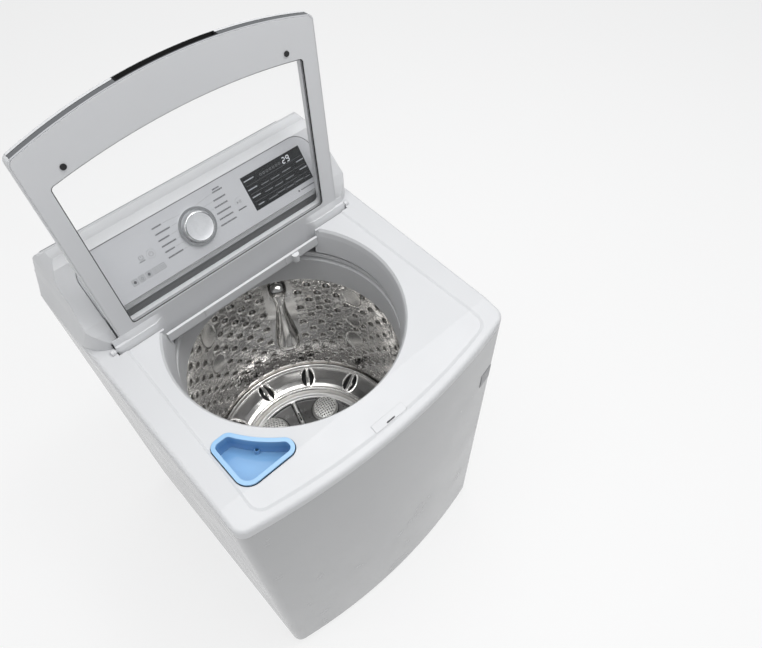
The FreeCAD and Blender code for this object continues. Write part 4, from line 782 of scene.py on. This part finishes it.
class Print:
    """Collects thin raised shapes of one ink and makes them one piece."""

    def __init__(self, thick=0.18, base=0.02):
        self.points, self.faces = [], []
        self.low, self.high = base, base + thick

    def prism(self, outline):
        """A flat shape from its outline of (across, rise) points, counter-clockwise."""
        first = len(self.points)
        count = len(outline)
        for out in (self.low, self.high):
            self.points += [on_panel(across, rise, out) for across, rise in outline]
        ids = np.arange(count)
        after = (ids + 1) % count
        sides = np.stack([ids, after, count + after, count + ids], axis=1) + first
        self.faces.append(sides)
        if count == 4:
            self.faces += [np.array([[3, 2, 1, 0]]) + first, np.array([[4, 5, 6, 7]]) + first]
            return
        middle = np.mean(outline, axis=0)
        for level, out in ((0, self.low), (1, self.high)):
            hub = len(self.points)
            self.points.append(on_panel(middle[0], middle[1], out))
            edge = ids + first + level * count
            fan = np.stack([edge, np.roll(edge, -1), np.full(count, hub)], axis=1)
            self.faces.append(fan if level else fan[:, ::-1])

    def bar(self, start, end, wide):
        """A straight stroke between two spots."""
        start, end = np.array(start, float), np.array(end, float)
        run = end - start
        side = np.array([-run[1], run[0]]) / np.hypot(*run) * wide / 2
        self.prism([start - side, end - side, end + side, start + side])

    def arc(self, middle, radius, wide, first=0.0, last=360.0, steps=28):
        """A ring or part of one, as short bars end to end."""
        turns = np.radians(np.linspace(first, last, steps + 1))
        for one, two in zip(turns[:-1], turns[1:]):
            inner, outer = radius - wide / 2, radius + wide / 2
            self.prism([polar(middle, reach, turn)
                        for reach, turn in ((inner, one), (outer, one), (outer, two), (inner, two))])

    def disc(self, middle, radius, steps=24):
        """A filled round dot."""
        self.prism([polar(middle, radius, turn) for turn in np.arange(steps) * 2 * math.pi / steps])

    def words(self, start, end, rise, tall, seed):
        """A run of short blocks of uneven width that stands for a line of lettering."""
        narrowest, gap = 0.8, 0.65
        across = start
        while across < end - narrowest:
            wide = 1.0 + (math.sin(seed * 12.9 + across * 4.7) * 0.5 + 0.5) * 1.5
            wide = min(wide, end - across)
            self.prism([(across, rise - tall / 2), (across + wide, rise - tall / 2),
                        (across + wide, rise + tall / 2), (across, rise + tall / 2)])
            across += wide + gap

    def finish(self, name, finish, slot, body="cabinet"):
        """Makes the collected shapes one object."""
        build(name, np.array(self.points), self.faces, [finish], body=body, sharp=40)


def leader_end(side, rise):
    """Where the leader line of a cycle mark at that height ends by the knob, in millimetres."""
    knob_across, knob_rise = panel_spot("cycle_knob")
    ring, highest = 41.5, 38
    held = min(abs(rise - knob_rise), highest)
    edge = knob_across + side * math.sqrt(ring ** 2 - held ** 2)
    return edge, knob_rise + math.copysign(held, rise - knob_rise)


def option_key(labels, number, across):
    """A framed option mark: a dot, a ring or two short lines in a fine box."""
    corners = [(across + side, rise) for rise in (22.8, 34.2) for side in (-5.5, 5.5)]
    for one, two in ((0, 1), (2, 3), (0, 2), (1, 3)):
        labels.bar(corners[one], corners[two], 0.8)
    if number in (0, 2):
        labels.disc((across, 28.5), 3.4)
    elif number == 1:
        labels.arc((across, 28.0), 2.6, 1.3, 0, 360, 14)
    else:
        labels.words(across - 3.4, across + 3.6, 30.2, 1.4, number)
        labels.words(across - 3.4, across + 3.0, 26.4, 1.4, number + 7)


def panel_graphics():
    """Generic print: two columns of cycle marks with leader lines, small icons and bars."""
    labels, leaders = Print(), Print(0.1)
    letter, fine = 3.4, 0.45
    left_rows = [(-114, -92, 101.0), (-114, -80, 87.5), (-115, -90, 74.0), (-115, -82, 61.0),
                 (-115, -93, 48.5), (-115, -81, 35.5)]
    right_rows = [(31, 55, 103.5), (25, 54, 88.0), (20, 52, 74.5), (18, 52, 61.0), (17, 51, 48.5),
                  (13, 52, 36.0)]
    for seed, (start, end, rise) in enumerate(left_rows):
        labels.words(start, end, rise, letter, seed)
        edge, target = leader_end(-1, rise)
        bend = (min(end + 14, edge - 6), rise)
        leaders.bar((end + 3, rise), bend, fine)
        leaders.bar(bend, (edge - 1, target), fine)
    for seed, (start, end, rise) in enumerate(right_rows):
        labels.words(start, end, rise, letter, seed + 9)
        if seed == 0:
            labels.words(start + 3, end - 5, rise + 5.2, 3.0, 31)
        edge, target = leader_end(1, rise)
        if edge + 1 < start - 3:
            leaders.bar((edge + 1, target), (start - 2.5, rise), fine)
    labels.bar((63, 45), (83, 45), 2.6)
    labels.arc((-161.5, 64.5), 4.6, 0.9, 130, 410, 16)
    labels.bar((-161.5, 64.5), (-161.5, 69), 0.9)
    labels.words(-169, -156, 56.8, 2.2, 4)
    labels.bar((206, 13.5), (210, 13.5), 3.6)
    labels.words(214, 250, 13.2, 2.8, 5)
    for number, across in enumerate((-196.5, -181, -165, -149.5, -134)):
        option_key(labels, number, across)
    labels.finish("panel_labels", "print_grey", "display_black")
    leaders.finish("panel_leaders", "print_pale", "grey_plastic")


def key_marks():
    """Power and start signs on the two keys."""
    across, rise = panel_spot("power_button")
    mark = Print(0.15, 0.55)
    mark.arc((across, rise), 4.4, 1.1, 115, 425, 22)
    mark.bar((across, rise + 0.8), (across, rise + 6.0), 1.1)
    mark.finish("power_mark", "print_pale", "grey_plastic", body="power_key")
    across, rise = panel_spot("start_button")
    half_tall = 3.4
    mark = Print(0.15, 0.55)
    mark.prism([(across - 5.2, rise - half_tall), (across - 0.4, rise), (across - 5.2, rise + half_tall)])
    for side in (1.6, 4.4):
        mark.bar((across + side, rise - half_tall), (across + side, rise + half_tall), 1.3)
    mark.finish("start_mark", "print_pale", "grey_plastic", body="start_key")


def panel_seam():
    """Dark joint line that runs round the control panel's edge, which is the hull of its points."""
    half_wide, flat = 0.45, 1e-6
    spots = sorted({(round(point[0] * 1000, 2), round((point @ PANEL_UP - PANEL_LOW) * 1000, 2))
                    for point in PANEL_POINTS})
    outline = []
    for run in (spots, spots[::-1]):
        first = len(outline)
        for spot in run:
            while len(outline) >= first + 2:
                (x0, y0), (x1, y1) = outline[-2:]
                if (x1 - x0) * (spot[1] - y0) - (y1 - y0) * (spot[0] - x0) > flat:
                    break
                outline.pop()
            outline.append(spot)
        outline.pop()
    seam = Print(0.12, 0.01)
    for start, end in zip(outline, outline[1:] + outline[:1]):
        run = np.array(end) - np.array(start)
        inward = np.array([-run[1], run[0]]) / np.hypot(*run) * half_wide
        seam.bar(np.array(start) + inward, np.array(end) + inward, 2 * half_wide)
    seam.finish("panel_seam", "dark_joint_and_painted_hole_shade", "rubber_black")


SEGMENTS = {"a": ((0.1, 1), (0.9, 1)), "b": ((1, 0.92), (1, 0.56)), "c": ((1, 0.44), (1, 0.08)),
            "d": ((0.1, 0), (0.9, 0)), "e": ((0, 0.44), (0, 0.08)), "f": ((0, 0.92), (0, 0.56)),
            "g": ((0.1, 0.5), (0.9, 0.5))}
DIGITS = {"2": "abged", "9": "abcdfg"}


def display_digit(lit, digit, across, rise):
    """A slanted seven-segment digit from its lower left corner."""
    wide, tall, slant = 6.4, 12.0, 0.1
    for letter in DIGITS[digit]:
        spots = [(across + share_x * wide + slant * share_y * tall, rise + share_y * tall)
                 for share_x, share_y in SEGMENTS[letter]]
        lit.bar(*spots, 1.35)


def display_graphics():
    """Lit digits and rows of small option marks on the black display."""
    lit, mid, dim = Print(0.12, 0.35), Print(0.12, 0.35), Print(0.12, 0.35)
    for across, digit in ((203.5, "2"), (214.5, "9")):
        display_digit(lit, digit, across, 82.0)
    headings = [(103, 129, 90), (233, 253, 71), (232, 252, 53), (103, 127, 70), (104, 126, 52.5),
                (109, 124, 33.5)]
    for seed, (start, end, rise) in enumerate(headings):
        mid.words(start, end, rise, 2.2, seed + 3)
    options = [(136, 155, 67), (161, 184, 66.5), (192, 215, 67.5), (136, 156, 50), (162, 184, 49.5),
               (192, 214, 50), (136, 158, 32), (161, 180, 34), (186, 205, 33), (211, 232, 34),
               (237, 250, 32.5)]
    for seed, (start, end, rise) in enumerate(options):
        dim.words(start, end, rise, 2.0, seed + 11)
    for number in range(7):
        dim.arc((145 + 8.4 * number, 87), 2.3, 0.7, 0, 360, 12)
    for rise in (79, 60, 42):
        dim.bar((104, rise), (249, rise), 0.35)
    for across in (158, 183, 208, 234):
        dim.bar((across, 29), (across, 37), 0.5)
    lit.finish("display_lit", "lamp_white", "white_plastic")
    mid.finish("display_marks", "lamp_mid", "grey_plastic")
    dim.finish("display_dim", "lamp_soft", "grey_plastic")


def revolve(name, origin, axis, profile, steps, finishes, marks, body):
    """A turned piece from (radius, out) points about an axis, closed at both ends on it."""
    axis = np.array(axis, float)
    side = np.array([1.0, 0, 0])
    other = np.cross(axis, side)
    turns = np.arange(steps) * 2 * math.pi / steps
    spokes = np.cos(turns)[:, None] * side + np.sin(turns)[:, None] * other
    points = [origin + spokes * radius + axis * out for radius, out in profile]
    points = np.concatenate(points + [[origin + axis * profile[0][1]], [origin + axis * profile[-1][1]]])
    quads = grid_quads(len(profile), steps)
    count = len(profile) * steps
    first = np.arange(steps)
    last = first + (len(profile) - 1) * steps
    ends = [np.stack([np.roll(first, -1), first, np.full(steps, count)], axis=1),
            np.stack([last, np.roll(last, -1), np.full(steps, count + 1)], axis=1)]
    picks = np.concatenate([np.repeat(marks, steps), np.full(steps, marks[0]), np.full(steps, marks[-1])])
    return build(name, points, [quads] + ends, finishes, picks, body=body, sharp=35)


def knob():
    """Cycle knob: bright turned skirt, a fine groove and a dished brushed cap."""
    across, rise = panel_spot("cycle_knob")
    origin = on_panel(across, rise, 0)
    low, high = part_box("cycle_knob")
    edge = (high.x - low.x) / 2
    depths = [np.array(vertex.co) @ PANEL_NORMAL for vertex in NODES["cycle_knob"].data.vertices]
    out = max(depths) - PANEL_OUT
    back = min(depths) - PANEL_OUT
    profile = [(0.0029, back), (0.003, back + 0.0002), (0.003, 0.0006), (edge - 0.0012, 0.0006),
               (edge - 0.0003, 0.0012), (edge, 0.0022), (edge - 0.0002, out - 0.0052),
               (edge - 0.001, out - 0.0046), (edge - 0.0018, out - 0.004), (edge - 0.0014, out - 0.0034),
               (edge - 0.0011, out - 0.0018), (edge - 0.0018, out - 0.0006), (edge - 0.003, out),
               (edge - 0.0045, out - 0.0001), (edge - 0.006, out - 0.0006), (edge * 0.45, out - 0.0011),
               (0.0015, out - 0.0012)]
    marks = [0, 0, 0, 1, 1, 1, 0, 0, 0, 1, 1, 1, 1, 2, 2, 2]
    finishes = ["grey_plastic", "chrome", "spun_silver"]
    made = revolve("knob_cap", origin, PANEL_NORMAL, profile, 128, finishes, marks, "selector")
    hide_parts("cycle_knob")


# ---- lid and springs ----

def lid_barrels():
    """Pillow-shaped mouldings over the hinge knuckles at both lower corners of the lid's inner face."""
    hinge = np.array(LID_HINGE, float)
    up_lid = np.array([0, math.sin(LID_LEAN), math.cos(LID_LEAN)])
    out = np.array([0, -math.cos(LID_LEAN), math.sin(LID_LEAN)])
    sunk, thick = 0.0021, 0.0032
    runs = np.concatenate([np.linspace(-0.044, -0.043, 3), np.linspace(-0.0425, 0.0114, 36),
                           np.linspace(0.012, 0.026, 12)])
    swell = along(runs, [(-0.044, 0.0066), (-0.0425, 0.0084), (-0.036, 0.0101), (-0.022, 0.0117),
                         (-0.008, 0.0122), (0.002, 0.0112), (0.0114, 0.0084), (0.012, 0.0064),
                         (0.019, 0.0038), (0.026, 0.0001)])
    spans = np.concatenate([np.linspace(0.184, 0.284, 40), np.linspace(0.286, 0.2974, 12)])
    ends = smooth((spans - 0.184) / 0.026) * (1 - 0.35 * np.clip((spans - 0.288) / 0.0094, 0, 1) ** 3)
    # Above the knuckles the outer ends stay low, clear of the deck when the lid is closed.
    above, shallow = 0.0118, 1 - 0.55 * smooth((spans - 0.262) / 0.014)
    rows, columns = len(runs), len(spans)
    quads = grid_quads(rows, columns, wrap=False)
    border = np.concatenate([np.arange(columns), np.arange(1, rows) * columns + columns - 1,
                             (rows - 1) * columns + np.arange(columns - 2, -1, -1),
                             np.arange(rows - 2, 0, -1) * columns])
    after = np.roll(border, -1)
    count = rows * columns
    walls = np.stack([after, border, border + count, after + count], axis=1)
    faces = [quads, quads[:, ::-1] + count, walls]
    for side, name in ((-1, "left"), (1, "right")):
        top, low = [], []
        for run, height in zip(runs, swell):
            for span, end in zip(spans, ends * (shallow if run > above else 1)):
                base = hinge + up_lid * run + np.array([side * span - hinge[0], 0, 0])
                top.append(base + out * (-sunk + height * end))
                low.append(base - out * thick)
        turned = faces if side > 0 else [block[:, ::-1] for block in faces]
        build(f"lid_barrel_{name}", np.array(top + low), turned, ["lid_grey"], body="lid",
              sharp=50)


def spring_coils():
    """Suspension springs: a copy of the CAD springs' mesh in their place, with the CAD springs hidden."""
    source = NODES["suspension_springs"]
    made = add_object("spring_coils", source.data.copy())
    made.matrix_world = source.matrix_world.copy()
    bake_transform(made)
    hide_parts("suspension_springs")


drum_wall()
spring_coils()
lid_barrels()
base_ring()
wash_plate()
lint_columns()
knob()
panel_graphics()
key_marks()
panel_seam()
display_graphics()


# ---- studio ----

def area_light(name, spot, target, size, power):
    """A rectangular light at a spot, turned to its target."""
    data = bpy.data.lights.new(name, "AREA")
    data.shape = "RECTANGLE"
    data.size, data.size_y = size
    data.energy = power
    light = add_object(name, data)
    light.location = spot
    light.rotation_euler = (Vector(target) - Vector(spot)).to_track_quat("-Z", "Y").to_euler()


def studio():
    """Plain white floor, dim soft surroundings, a large ceiling light and a light from the left."""
    floor_mesh = bpy.data.meshes.new("floor")
    reach = 14.0
    floor_mesh.from_pydata([(-reach, -reach, 0), (reach, -reach, 0), (reach, reach, 0), (-reach, reach, 0)],
                           [], [(0, 1, 2, 3)])
    floor = add_object("floor", floor_mesh)
    floor.location.z = -0.0005
    paper = new_material("studio_floor", (0.25, 0.25, 0.25), 0.9)
    set_sockets(shader_of(paper), {"Emission Color": (1, 1, 1, 1), "Emission Strength": 0.7})
    floor_mesh.materials.append(paper)
    world = bpy.data.worlds.new("studio")
    world.use_nodes = True
    set_sockets(world.node_tree.nodes["Background"], {"Color": (0.96, 0.98, 1.0, 1), "Strength": 0.27})
    bpy.context.scene.world = world
    area_light("ceiling", (0.35, -0.6, 4.1), (0, 0, 0.8), (4.6, 4.2), 136)
    area_light("left", (-3.6, 0.9, 2.2), (0, 0.1, 0.7), (2.4, 2.4), 20)
    area_light("spark", (0.7, -0.5, 3.6), (0, 0, 0.7), (0.5, 0.5), 14)
    bpy.context.scene.view_settings.view_transform = "Standard"


def camera():
    """Looks down over the machine's front left corner."""
    data = bpy.data.cameras.new("camera")
    data.sensor_width = 36.0
    data.lens = 31.77
    data.shift_x = -0.0169
    data.shift_y = 0.0012
    made = add_object("camera", data)
    yaw, pitch, roll = (math.radians(angle) for angle in (43.48, 54.86, 0.22))
    ahead = Vector((math.sin(yaw) * math.cos(pitch), math.cos(yaw) * math.cos(pitch), -math.sin(pitch)))
    level = Vector((math.cos(yaw), -math.sin(yaw), 0))
    upward = level.cross(ahead)
    right = level * math.cos(roll) + upward * math.sin(roll)
    upward = upward * math.cos(roll) - level * math.sin(roll)
    turn = Matrix((right, upward, -ahead)).transposed().to_4x4()
    made.matrix_world = Matrix.Translation((-0.3979, -0.7729, 2.0872)) @ turn
    bpy.context.scene.camera = made


studio()
camera()
